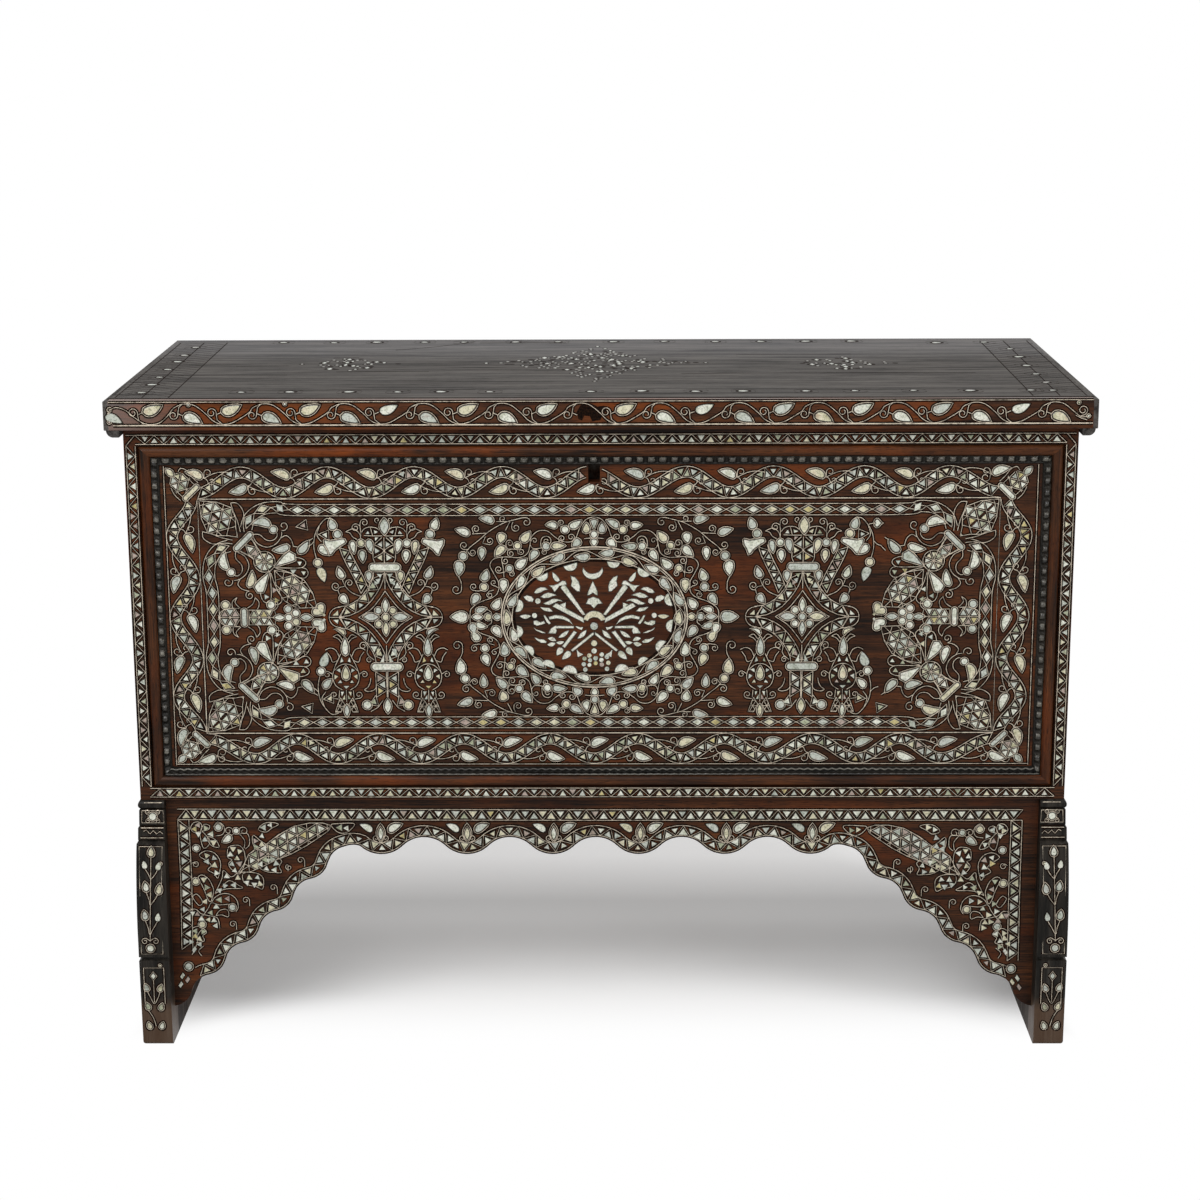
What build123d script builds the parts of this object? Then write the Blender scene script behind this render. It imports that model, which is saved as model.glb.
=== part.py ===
from build123d import *
from math import hypot
import os

# Dowry chest of walnut boards on two slab feet, millimetres, +Z up.
# Origin: centre of the chest's footprint on the floor. The front faces -Y.

# ---------------------------------------------------------------- driving sizes
case_width = 1356.0            # across the two end boards
lid_depth = 620.0
total_height = 975.0
case_bottom = 379.0            # underside of the chest body above the floor

side_overhang = 22.0           # lid edge to end board
front_overhang = 25.0          # lid front to frame front
back_overhang = 14.0           # lid back to back boards
seat_gap = 0.3                 # lid boards above the case's top edge

# boards of the case
end_board_t = 35.0
front_board_t = 22.0
back_board_t = 20.0
bottom_board_t = 18.0
board_joint = 0.5              # shrinkage gap between neighbouring boards
back_boards = 3
bottom_boards = 3
ledger_height = 16.0
ledger_width = 22.0

# applied frame and its two mouldings
frame_t = 9.0
stile_width = 19.0
bottom_rail_width = 19.0
top_rail_show = 27.0           # part of the top rail that shows below the lid's rim
moulding_width = 17.0
moulding_t = 10.0
moulding_edge = 3.0            # thickness of the moulding at its two edges
ripple_width = 12.0
ripple_t = 7.0
ripple_edge = 2.2

# apron
apron_t = 20.0
wave_pitch = 127.0             # one crest to the next in the waved middle
wave_shift = -9.0              # waves set out a little left of the chest's middle
wave_swings = 11               # half-waves in the middle, an odd number
wave_drop = 75.0               # middle of the wave below the case
wave_rise = 13.3
notch_run = 22.0               # small hollow between the middle and each spandrel
notch_drop = 1.0
notch_rise = 2.0
spandrel_steps = 5             # hollow steps down each spandrel
spandrel_rise = 5.5
apron_tip = 50.0               # spandrel's tip above the floor
block_size = 26.0
block_length = 60.0
block_count = 5

# foot consoles
console_lead = 20.0            # console front ahead of the frame face
console_bulge = 10.0           # console flank beyond the case's end
console_start = 0.02           # share of the bulge at the very top
roll_crown = (4.5, 0.30)       # crown of the roll: drop below the case, share of the bulge
console_cap = (                # carved breaks of the cap, in the same terms
    (13.0, 0.05), (15.0, 0.22), (37.0, 0.28), (39.0, 0.20), (41.0, 0.42),
    (59.0, 0.48), (61.0, 0.42), (64.0, 0.66), (74.0, 0.72),
)
groove_z = 137.0               # groove round the foot above the floor
groove_half = 3.0
groove_cut = 4.0
groove_floor = 1.0             # half of the groove's flat floor
panel_camber = 0.04            # share of the bulge that the upper panel's middle keeps back
toe_round = 6.0
toe_ease = 0.3                 # how square the toe's round is

# lid
lid_board_t = 24.0
lid_boards = 3
rim_height = 42.0
rim_t = 24.0
edging_t = 7.0
cleat_gap = 1.0                # cleat to the case's end
cleat_drop = 10.0              # cleat below the rim
cleat_reach = 4.0              # cleat nose under the edging
cleat_inset = 1.0
cleat_turn = 9.0               # where the nose starts to turn up, in from its tip
cleat_round = (2.0, 4.0)       # middle of that turn: in from the tip, up from the underside
lid_round = 1.5

# hasp hole in the rim and lock slot in the front board
hasp_hole_x = -5.5
hasp_hole_drop = 17.5          # its middle below the lid's top
hasp_hole_w = 7.0
hasp_hole_h = 15.0
hasp_hole_depth = 18.0
slot_x = -9.0
slot_w = 17.0
slot_h = 26.0

# hinges
hinge_x = 430.0
knuckle_r = 6.0
pin_r = 2.5
pin_clear = 0.05
pin_head_r = 4.2
pin_head_t = 1.6
hinge_width = 30.0
knuckle_gap = 0.4
strap_t = 2.2
strap_length = 215.0
leaf_length = 120.0
hinge_off_board = 0.5
notch_clear = 0.4
nail_r = 1.8
nail_head_r = 4.5
nail_head_top_r = 2.4
nail_head_t = 1.8
nail_length = 14.0
nail_from_end = 14.0           # last nail in from the free end of its strap or leaf
strap_nail_first = 20.0        # first strap nail in from the back boards
strap_nail_count = 4
leaf_nail_first = 26.0         # first leaf nail below the pin
leaf_nail_count = 3
knuckle_cut = 1.0              # room below the middle knuckle
bore_over = 2.0                # bores run this much longer than what they pass through

# lock
lock_width = 110.0
lock_height = 70.0
lock_depth = 24.0
lock_wall = 2.0
bolt_w = 10.0
bolt_t = 6.0
bolt_length = 40.0
bolt_clear = 0.3
guide_w = 8.0
guide_t = 2.0
guide_end = 1.0                # first guide in from the bolt's tail
guide_off_slot = 2.0           # guides on each side of the slot

# till
till_width = 150.0
till_depth = 130.0
till_wall_t = 12.0
till_bottom_t = 10.0
till_below_rim = 20.0
groove_depth = 6.0
groove_clear = 0.1

# ---------------------------------------------------------------- derived places
lid_front = -lid_depth / 2
lid_back = lid_depth / 2
lid_top = total_height
lid_under = lid_top - lid_board_t
rim_bottom = lid_top - rim_height

case_top = lid_under - seat_gap
case_half = case_width / 2
lid_half = case_half + side_overhang
end_inner = case_half - end_board_t

frame_front = lid_front + front_overhang
board_front = frame_front + frame_t
board_inner = board_front + front_board_t
back_outer = lid_back - back_overhang
back_inner = back_outer - back_board_t

apron_back = board_inner
apron_front = apron_back - apron_t
bottom_under = case_bottom + ledger_height
bottom_top = bottom_under + bottom_board_t

open_half = case_half - stile_width           # frame's inner edges
open_top = rim_bottom - top_rail_show
open_bottom = case_bottom + bottom_rail_width
slot_top = open_top - moulding_width - ripple_width
slot_bottom = slot_top - slot_h
hasp_hole_z = lid_top - hasp_hole_drop

till_top = case_top - till_below_rim
till_floor = till_top - till_depth
till_wall_x0 = -end_inner + till_width

hinge_y = back_outer + hinge_off_board + knuckle_r
hinge_z = lid_under - knuckle_r
knuckle_w = (hinge_width - 2 * knuckle_gap) / 3


def block(x0, x1, y0, y1, z0, z1):
    """A board between two corners."""
    size = Box(x1 - x0, y1 - y0, z1 - z0)
    return Pos((x0 + x1) / 2, (y0 + y1) / 2, (z0 + z1) / 2) * size


def along_y(outline, y0, y1):
    """A face drawn as (x, z), carried from y0 to y1."""
    face = Plane.XZ * outline
    return Pos(0, y1, 0) * extrude(face, amount=y1 - y0)


def along_x(outline, x0, x1):
    """A face drawn as (y, z), carried from x0 to x1."""
    face = Plane.YZ * outline
    return Pos(x0, 0, 0) * extrude(face, amount=x1 - x0)


def rod(radius, centre, axis, length):
    """A round bar centred on a point, along X, Y or Z."""
    turn = {"X": (0, 90, 0), "Y": (90, 0, 0), "Z": (0, 0, 0)}[axis]
    return Pos(*centre) * Rot(*turn) * Cylinder(radius, length)


def mirror_x(shape):
    return mirror(shape, about=Plane.YZ)


def save(name, shape):
    os.makedirs("parts", exist_ok=True)
    export_step(shape, f"parts/{name}.step")


def save_pair(name, right):
    """The right-hand piece and its mirror image."""
    save(f"right_{name}", right)
    save(f"left_{name}", mirror_x(right))


# ---------------------------------------------------------------- case boards
def end_board():
    return block(end_inner, case_half, board_inner, back_inner, 0, case_top)


def till_grooves(y_wall, into):
    """Grooves for the till's bottom and wall, cut into the board whose inner face is y_wall."""
    c = groove_clear
    y0, y1 = sorted((y_wall, y_wall + into * (groove_depth + c)))
    bottom = block(-end_inner, till_wall_x0 + c, y0, y1, till_floor - c, till_floor + till_bottom_t + c)
    wall = block(till_wall_x0 - c, till_wall_x0 + till_wall_t + c, y0, y1, till_floor - c, case_top)
    return bottom + wall


def front_board():
    board = block(-case_half, case_half, board_front, board_inner, case_bottom, case_top)
    slot = block(slot_x - slot_w / 2, slot_x + slot_w / 2, board_front, board_inner,
                 slot_bottom, slot_top)
    return board - slot - till_grooves(board_inner, -1)


def back_board(index):
    """Back boards stacked from the bottom; the top one is let in for the hinge straps."""
    height = (case_top - case_bottom - board_joint * (back_boards - 1)) / back_boards
    z0 = case_bottom + index * (height + board_joint)
    board = block(-case_half, case_half, back_inner, back_outer, z0, z0 + height)
    if index < back_boards - 1:
        return board
    for side in (-1, 1):
        half = hinge_width / 2 + notch_clear
        x = side * hinge_x
        board -= block(x - half, x + half, back_inner, back_outer,
                       lid_under - strap_t - notch_clear, case_top)
    return board - till_grooves(back_inner, 1)


def bottom_board(index):
    span = back_inner - board_inner
    width = (span - board_joint * (bottom_boards - 1)) / bottom_boards
    y0 = board_inner + index * (width + board_joint)
    return block(-end_inner, end_inner, y0, y0 + width, bottom_under, bottom_top)


def long_ledger(y0):
    return block(-end_inner, end_inner, y0, y0 + ledger_width, case_bottom, bottom_under)


def end_ledger():
    return block(end_inner - ledger_width, end_inner, board_inner + ledger_width,
                 back_inner - ledger_width, case_bottom, bottom_under)


# ---------------------------------------------------------------- frame and mouldings
def top_rail():
    return block(-case_half, case_half, frame_front, board_front, open_top, case_top)


def bottom_rail():
    return block(-case_half, case_half, frame_front, board_front, case_bottom, open_bottom)


def stile():
    return block(open_half, case_half, frame_front, board_front, open_bottom, open_top)


def convex_profile(width, edge, crown):
    """Section of a strip: x runs from the frame towards the panel, y stands off the board."""
    sides = Polyline((0, edge), (0, 0), (width, 0), (width, edge))
    face = ThreePointArc((width, edge), (width / 2, crown), (0, edge))
    return make_face([sides, face])


def mitred(profile, half_x, z_low, z_high, side):
    """One strip of a mitred frame whose outer edge is the rectangle given."""
    width = profile.bounding_box().size.X
    half_z = (z_high - z_low) / 2
    middle = (z_high + z_low) / 2
    length, reach, turn = {
        "top": (half_x, half_z, 0),
        "bottom": (half_x, half_z, 180),
        "left": (half_z, half_x, 90),
        "right": (half_z, half_x, -90),
    }[side]
    # Drawn as the top strip: the profile's width hangs down from the outer edge.
    face = Plane((0, 0, 0), x_dir=(0, 0, -1), z_dir=(-1, 0, 0)) * profile
    strip = Pos(length, 0, 0) * extrude(face, amount=2 * length)
    wedge = make_face(Polyline((-length, 0), (length, 0), (length - width, -width),
                               (-length + width, -width), (-length, 0)))
    depth = strip.bounding_box().size.Y
    y_mid = strip.bounding_box().center().Y
    strip = strip & along_y(wedge, y_mid - depth, y_mid + depth)
    strip = Pos(0, 0, reach) * strip
    return Pos(0, board_front, middle) * Rot(0, -turn, 0) * strip


def moulding(side):
    profile = convex_profile(moulding_width, moulding_edge, moulding_t)
    return mitred(profile, open_half, open_bottom, open_top, side)


def ripple(side):
    w = moulding_width
    profile = convex_profile(ripple_width, ripple_edge, ripple_t)
    return mitred(profile, open_half - w, open_bottom + w, open_top - w, side)


# ---------------------------------------------------------------- apron
def wave(start, end, rise, first, count):
    """Arcs that swing to and fro about the line start-end; first is the first arc's side."""
    (x0, z0), (x1, z1) = start, end
    span = hypot(x1 - x0, z1 - z0)
    nx, nz = -(z1 - z0) / span, (x1 - x0) / span
    arcs = []
    for i in range(count):
        a, m, b = i / count, (i + 0.5) / count, (i + 1) / count
        swing = rise * first * (-1) ** i
        arcs.append(ThreePointArc(
            (x0 + (x1 - x0) * a, z0 + (z1 - z0) * a),
            (x0 + (x1 - x0) * m + nx * swing, z0 + (z1 - z0) * m + nz * swing),
            (x0 + (x1 - x0) * b, z0 + (z1 - z0) * b)))
    return arcs


def spandrel_edge(middle):
    """Right-hand end of the edge, from a waved middle about this place to the right tip."""
    start = (middle + wave_pitch * wave_swings / 4, case_bottom - wave_drop)
    knee = (start[0] + notch_run, start[1] - notch_drop)
    tip = (end_inner, apron_tip)
    return wave(start, knee, notch_rise, 1, 1) + wave(knee, tip, spandrel_rise, 1, 2 * spandrel_steps)


def apron_edge():
    """Lower edge from the left tip to the right one: stepped spandrels and a waved middle."""
    reach = wave_pitch * wave_swings / 4
    level = case_bottom - wave_drop
    middle = wave((wave_shift - reach, level), (wave_shift + reach, level), wave_rise, -1, wave_swings)
    left = [mirror_x(arc) for arc in spandrel_edge(-wave_shift)]
    return left + middle + spandrel_edge(wave_shift)


def apron():
    outline = Polyline((-end_inner, apron_tip), (-end_inner, case_bottom),
                       (end_inner, case_bottom), (end_inner, apron_tip))
    face = make_face([outline] + apron_edge())
    return along_y(face, apron_front, apron_back)


def apron_blocks():
    """Three-sided glue blocks in the corner between the apron and the front ledger."""
    corner = Polyline((apron_back, case_bottom), (apron_back, case_bottom - block_size),
                      (apron_back + block_size, case_bottom), (apron_back, case_bottom))
    pitch = 2 * (end_inner - block_length) / (block_count - 1)
    blocks = []
    for i in range(block_count):
        x = -end_inner + block_length + i * pitch
        blocks.append(along_x(make_face(corner), x - block_length / 2, x + block_length / 2))
    return Compound(blocks)


# ---------------------------------------------------------------- foot consoles
def console_outline(flush, full, back):
    """Carved edge of the console from its cap to the floor, closed at its back.

    flush is where the edge lies level with the case, full is the edge of the whole bulge.
    """
    bulge = full - flush
    out = 1 if bulge > 0 else -1
    heel = full - panel_camber * bulge

    def at(drop, share):
        return (flush + share * bulge, case_bottom - drop)

    start = at(0, console_start)
    cap = [at(*place) for place in console_cap]
    panel_end = (full, groove_z + groove_half)
    return make_face([
        Polyline((back, case_bottom), start),
        ThreePointArc(start, at(*roll_crown), cap[0]),
        Polyline(*cap),
        ThreePointArc(cap[-1], (heel, (cap[-1][1] + groove_z) / 2), panel_end),
        Polyline(panel_end, (full - out * groove_cut, groove_z + groove_floor),
                 (full - out * groove_cut, groove_z - groove_floor),
                 (full, groove_z - groove_half), (heel, toe_round)),
        ThreePointArc((heel, toe_round), (heel - out * toe_ease * toe_round, toe_ease * toe_round),
                      (heel - out * toe_round, 0)),
        Polyline((heel - out * toe_round, 0), (back, 0), (back, case_bottom)),
    ])


def foot_console():
    side = along_x(console_outline(frame_front, frame_front - console_lead, board_inner),
                   end_inner, case_half + console_bulge)
    flank = along_y(console_outline(case_half, case_half + console_bulge, end_inner),
                    frame_front - console_lead, board_inner)
    return side & flank


# ---------------------------------------------------------------- lid
def lid_board(index):
    y_first = lid_front + rim_t
    width = (lid_back - y_first - board_joint * (lid_boards - 1)) / lid_boards
    y0 = y_first + index * (width + board_joint)
    half = lid_half - edging_t
    return block(-half, half, y0, y0 + width, lid_under, lid_top)


def hasp_hole():
    """Lens-shaped hole, drawn as two arcs that meet above and below."""
    low = (hasp_hole_x, hasp_hole_z - hasp_hole_h / 2)
    high = (hasp_hole_x, hasp_hole_z + hasp_hole_h / 2)
    right = ThreePointArc(low, (hasp_hole_x + hasp_hole_w / 2, hasp_hole_z), high)
    left = ThreePointArc(high, (hasp_hole_x - hasp_hole_w / 2, hasp_hole_z), low)
    return along_y(make_face([right, left]), lid_front, lid_front + hasp_hole_depth)


def lid_front_rim():
    half = lid_half - edging_t
    rim = block(-half, half, lid_front, lid_front + rim_t, rim_bottom, lid_top)
    front_edges = rim.edges().filter_by(Axis.X).group_by(Axis.Y)[0]
    return fillet(front_edges, lid_round) - hasp_hole()


def lid_edging():
    strip = block(lid_half - edging_t, lid_half, lid_front, lid_back, rim_bottom, lid_top)
    outer = strip.edges().filter_by(Axis.Y).group_by(Axis.X)[-1]
    return fillet(outer, lid_round)


def lid_cleat():
    """Cleat under the overhang: a batten behind the edging, with a rounded nose below it."""
    x_in = case_half + cleat_gap
    x_mid = lid_half - edging_t
    x_nose = x_mid + cleat_reach
    low = rim_bottom - cleat_drop
    y0 = lid_front + cleat_inset
    y1 = lid_back - cleat_inset
    nose = make_face([
        Polyline((x_in, rim_bottom), (x_in, low), (x_nose - cleat_turn, low)),
        ThreePointArc((x_nose - cleat_turn, low), (x_nose - cleat_round[0], low + cleat_round[1]),
                      (x_nose, rim_bottom)),
        Polyline((x_nose, rim_bottom), (x_in, rim_bottom)),
    ])
    batten = block(x_in, x_mid, lid_front + rim_t, y1, rim_bottom, lid_under)
    return along_y(nose, y0, y1) + batten


# ---------------------------------------------------------------- hinges
def nail_places(first, last, count):
    return [first + (last - first) * i / (count - 1) for i in range(count)]


strap_nail_y = nail_places(back_inner - strap_nail_first, hinge_y - strap_length + nail_from_end,
                            strap_nail_count)
leaf_nail_z = nail_places(hinge_z - leaf_nail_first, hinge_z - leaf_length + nail_from_end,
                          leaf_nail_count)


def nail(point, direction):
    """Forged nail: faceted head outside, shank going along the direction."""
    head = Cone(nail_head_top_r, nail_head_r, nail_head_t, align=(Align.CENTER, Align.CENTER, Align.MAX))
    shank = Cylinder(nail_r, nail_length, align=(Align.CENTER, Align.CENTER, Align.MIN))
    return Plane(point, z_dir=direction) * (head + shank)


def hinge_leaf(side):
    """Leaf on the back boards with the two outer knuckles."""
    x = side * hinge_x
    plate = block(x - hinge_width / 2, x + hinge_width / 2, back_outer, back_outer + strap_t,
                  hinge_z - leaf_length, hinge_z)
    inner = knuckle_w / 2 + knuckle_gap
    plate -= block(x - inner, x + inner, back_outer, back_outer + strap_t,
                   hinge_z - knuckle_r - knuckle_cut, hinge_z)
    knuckles = [rod(knuckle_r, (x + s * (knuckle_w + knuckle_gap), hinge_y, hinge_z), "X", knuckle_w)
                for s in (-1, 1)]
    leaf = plate + knuckles[0] + knuckles[1]
    leaf -= rod(pin_r + pin_clear, (x, hinge_y, hinge_z), "X", hinge_width + bore_over)
    for z in leaf_nail_z:
        leaf -= rod(nail_r, (x, back_outer, z), "Y", 4 * strap_t)
    return leaf


def hinge_strap(side):
    """Strap under the lid with the middle knuckle."""
    x = side * hinge_x
    end = hinge_y - strap_length
    shoulder = back_outer - hinge_off_board
    wide = block(x - hinge_width / 2, x + hinge_width / 2, end, shoulder, lid_under - strap_t, lid_under)
    tongue = block(x - knuckle_w / 2, x + knuckle_w / 2, shoulder, hinge_y, lid_under - strap_t, lid_under)
    strap = wide + tongue + rod(knuckle_r, (x, hinge_y, hinge_z), "X", knuckle_w)
    strap -= rod(pin_r + pin_clear, (x, hinge_y, hinge_z), "X", hinge_width + bore_over)
    for y in strap_nail_y:
        strap -= rod(nail_r, (x, y, lid_under), "Z", 4 * strap_t)
    return strap


def hinge_pin(side):
    x = side * hinge_x
    pin = rod(pin_r, (x, hinge_y, hinge_z), "X", hinge_width)
    for s in (-1, 1):
        pin += rod(pin_head_r, (x + s * (hinge_width + pin_head_t) / 2, hinge_y, hinge_z), "X", pin_head_t)
    return pin


def strap_nails():
    return [nail((side * hinge_x, y, lid_under - strap_t), (0, 0, 1))
            for side in (-1, 1) for y in strap_nail_y]


def leaf_nails():
    return [nail((side * hinge_x, back_outer + strap_t, z), (0, -1, 0))
            for side in (-1, 1) for z in leaf_nail_z]


def drilled(board, nails):
    """The board with a hole for each nail that reaches it."""
    for one in nails:
        board -= one
    return board


# ---------------------------------------------------------------- lock
lock_z = slot_top - slot_h / 2
lock_x0 = slot_x - lock_width / 2
bolt_y = board_inner + lock_depth / 2 - bolt_t / 2
bolt_x0 = slot_x - slot_w / 2 - bolt_length


def lock_case():
    """Shallow iron box over the slot, open towards the board."""
    outer = block(lock_x0, lock_x0 + lock_width, board_inner, board_inner + lock_depth,
                  lock_z - lock_height / 2, lock_z + lock_height / 2)
    inner = block(lock_x0 + lock_wall, lock_x0 + lock_width - lock_wall, board_inner,
                  board_inner + lock_depth - lock_wall,
                  lock_z - lock_height / 2 + lock_wall, lock_z + lock_height / 2 - lock_wall)
    return outer - inner


def lock_bolt():
    return block(bolt_x0, bolt_x0 + bolt_length, bolt_y, bolt_y + bolt_t,
                 lock_z - bolt_w / 2, lock_z + bolt_w / 2)


def bolt_guide(x):
    """Staple round the bolt, standing on the lock's back plate."""
    plate = board_inner + lock_depth - lock_wall
    c = bolt_clear
    outer = block(x, x + guide_w, bolt_y - c - guide_t, plate,
                  lock_z - bolt_w / 2 - c - guide_t, lock_z + bolt_w / 2 + c + guide_t)
    inner = block(x, x + guide_w, bolt_y - c, plate,
                  lock_z - bolt_w / 2 - c, lock_z + bolt_w / 2 + c)
    return outer - inner


def bolt_guides():
    left = bolt_x0 + guide_end
    right = slot_x - slot_w / 2 - guide_w - guide_off_slot
    catch = slot_x + slot_w / 2 + guide_off_slot
    return Compound([bolt_guide(left), bolt_guide(right), bolt_guide(catch)])


# ---------------------------------------------------------------- till
def till_bottom():
    y0 = board_inner - groove_depth
    y1 = back_inner + groove_depth
    return block(-end_inner, till_wall_x0, y0, y1, till_floor, till_floor + till_bottom_t)


def till_wall():
    y0 = board_inner - groove_depth
    y1 = back_inner + groove_depth
    return block(till_wall_x0, till_wall_x0 + till_wall_t, y0, y1, till_floor, till_top)


def build():
    save_pair("end_board", end_board())
    save("front_board", front_board())
    names = ("lower", "middle", "upper")
    for i in range(back_boards):
        save(f"back_board_{names[i]}", drilled(back_board(i), leaf_nails()))
    places = ("front", "middle", "back")
    for i in range(bottom_boards):
        save(f"bottom_board_{places[i]}", bottom_board(i))
    save("front_ledger", long_ledger(board_inner))
    save("back_ledger", long_ledger(back_inner - ledger_width))
    save_pair("ledger", end_ledger())

    save("top_rail", top_rail())
    save("bottom_rail", bottom_rail())
    save_pair("stile", stile())
    for side in ("top", "bottom", "left", "right"):
        save(f"{side}_moulding", moulding(side))
        save(f"{side}_ripple", ripple(side))

    save("apron", apron())
    save("apron_blocks", apron_blocks())
    save_pair("foot_console", foot_console())

    for i in range(lid_boards):
        save(f"lid_board_{places[i]}", drilled(lid_board(i), strap_nails()))
    save("lid_front_rim", lid_front_rim())
    save_pair("lid_edging", lid_edging())
    save_pair("lid_cleat", lid_cleat())

    for side, word in ((-1, "left"), (1, "right")):
        save(f"{word}_hinge_leaf", hinge_leaf(side))
        save(f"{word}_hinge_strap", hinge_strap(side))
        save(f"{word}_hinge_pin", hinge_pin(side))
    save("strap_nails", Compound(strap_nails()))
    save("leaf_nails", Compound(leaf_nails()))

    save("lock_case", lock_case())
    save("bolt_guides", bolt_guides())
    save("lock_bolt", lock_bolt())
    save("till_bottom", till_bottom())
    save("till_wall", till_wall())


build()
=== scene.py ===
import math
import random

import bpy
from mathutils import Matrix, Vector
from mathutils.bvhtree import BVHTree


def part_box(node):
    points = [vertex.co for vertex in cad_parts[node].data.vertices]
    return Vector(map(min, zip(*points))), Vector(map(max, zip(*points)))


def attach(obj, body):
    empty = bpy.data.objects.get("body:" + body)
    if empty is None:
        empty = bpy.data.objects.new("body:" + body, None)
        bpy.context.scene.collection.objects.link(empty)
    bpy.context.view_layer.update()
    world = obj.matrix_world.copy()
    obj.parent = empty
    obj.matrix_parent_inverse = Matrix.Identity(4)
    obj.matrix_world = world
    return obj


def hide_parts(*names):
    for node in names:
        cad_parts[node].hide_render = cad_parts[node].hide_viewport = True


bl_info = {
    "name": "Inlaid Dowry Chest",
    "version": (1, 0, 0),
    "blender": (4, 5, 0),
    "location": "View3D > Sidebar > Dowry Chest",
    "description": "Finishes a walnut dowry chest with pearl and wire inlay over its measured frame",
    "category": "Object",
}

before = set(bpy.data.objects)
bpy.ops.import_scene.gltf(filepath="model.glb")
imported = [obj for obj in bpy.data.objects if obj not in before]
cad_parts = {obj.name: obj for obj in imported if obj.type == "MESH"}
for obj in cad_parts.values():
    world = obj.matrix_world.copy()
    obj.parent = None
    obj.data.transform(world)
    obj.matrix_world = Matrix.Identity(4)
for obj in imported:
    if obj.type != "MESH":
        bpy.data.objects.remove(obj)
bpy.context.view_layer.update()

MM = 0.001


# ---------------------------------------------------------------- settings

def sized(name, text, millimetres, low=0.0, high=0.1):
    """A length that a user may change, given here in millimetres."""
    return bpy.props.FloatProperty(
        name=name, description=text, default=millimetres * MM, min=low, max=high,
        unit="LENGTH", subtype="DISTANCE", precision=4)


def tinted(name, text, code):
    """A colour that a user may change, given here as its sRGB hex value."""
    return bpy.props.FloatVectorProperty(
        name=name, description=text, default=linear(code), size=4, min=0.0, max=1.0, subtype="COLOR")


def linear(code):
    """The linear colour of an sRGB hex value such as 8a5a30."""
    levels = [int(code[k:k + 2], 16) / 255 for k in (0, 2, 4)]
    return tuple(c / 12.92 if c <= 0.04045 else ((c + 0.055) / 1.055) ** 2.4 for c in levels) + (1.0,)


class DowryInlay(bpy.types.PropertyGroup):
    wire_width: sized("Wire width", "Width of the tin wire that draws the stems and borders", 0.8)
    wire_rise: sized("Wire rise", "How far the wire stands above the wood", 0.42)
    # the filler beside the wire is partly real mastic and partly painted shadow along the raised wire
    wire_groove_and_shadow: sized("Wire groove", "Dark filler that shows on each side of the wire", 2.1)
    mastic_margin: sized("Mastic margin", "Dark filler that shows round each piece of pearl", 1.3)
    pearl_rise: sized("Pearl rise", "How far the pearl stands above the wood", 0.6)
    pearl_bevel: sized("Pearl bevel", "Width of the worn edge of each piece of pearl", 0.9)


class DowryColours(bpy.types.PropertyGroup):
    walnut_light: tinted("Walnut, light", "Lighter figure of the polished walnut", "5d351b")
    walnut_mid: tinted("Walnut, middle", "Body colour of the polished walnut", "3d2313")
    walnut_dark: tinted("Walnut, dark", "Darker figure of the polished walnut", "170d07")
    worn_light: tinted("Worn walnut, light", "Bleached fibres of the lid", "5e5b58")
    worn_dark: tinted("Worn walnut, dark", "Dark grain of the lid", "242120")
    ebony: tinted("Ebonised walnut", "Black stain of the mouldings and feet", "14120f")
    poplar_light: tinted("Poplar, light", "Plain boards of the back and bottom", "8c6c49")
    poplar_dark: tinted("Poplar, dark", "Grain of the plain boards", "4f3822")
    wire: tinted("Tin wire", "Dulled tin of the inlaid lines", "c6baa7")
    mastic: tinted("Mastic", "Dark filler round the pearl", "060403")
    iron: tinted("Forged iron", "Hinges, nails and lock", "39342f")


class DowryStage(bpy.types.PropertyGroup):
    floor: tinted("Floor", "Colour of the studio floor", "eeeeee")
    key_power: bpy.props.FloatProperty(
        name="Key light", description="Power of the large lamp above the camera",
        default=120.0, min=0.0, subtype="POWER", unit="POWER")
    fill_strength: bpy.props.FloatProperty(
        name="Fill", description="Strength of the even light all round", default=0.32, min=0.0, max=2.0)


# ---------------------------------------------------------------- materials

def material(name):
    """An empty node material."""
    made = bpy.data.materials.new(name)
    made.use_nodes = True
    made.node_tree.nodes.clear()
    return made


def node(tree, kind, sockets=None, stops=(), **settings):
    """One node with its settings and colour stops; a socket holds a value, or comes from a socket or node."""
    made = tree.nodes.new("ShaderNode" + kind)
    for key, value in settings.items():
        setattr(made, key, value)
    for key, value in (sockets or {}).items():
        if isinstance(value, bpy.types.Node):
            value = next(out for out in value.outputs if out.enabled)
        if isinstance(value, bpy.types.NodeSocket):
            tree.links.new(value, made.inputs[key])
        else:
            made.inputs[key].default_value = value
    for _ in stops[2:]:
        made.color_ramp.elements.new(1.0)
    for k, (place, colour) in enumerate(stops):
        made.color_ramp.elements[k].position = place
        made.color_ramp.elements[k].color = colour
    return made


def along_grain(tree, grain, across_mm, along_mm, shift=0.0):
    """Object coordinates stretched along the grain, so that a noise draws fibres of these sizes."""
    scale = [1 / (across_mm * MM)] * 3
    scale["xyz".index(grain)] = 1 / (along_mm * MM)
    place = node(tree, "TexCoord").outputs["Object"]
    # each board is cut from another part of the tree
    board = node(tree, "ObjectInfo")
    cut = node(tree, "VectorMath", {0: place, 1: board.outputs["Random"]}, operation="ADD")
    return node(tree, "Mapping", {
        "Vector": cut, "Scale": scale, "Location": (shift, shift * 1.7, shift * 0.6),
    })


def blend_of(a, b, share):
    """A colour part of the way from a to b."""
    return tuple(p + (q - p) * share for p, q in zip(a, b))


WHITE, BLACK = linear("ffffff"), linear("000000")


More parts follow.
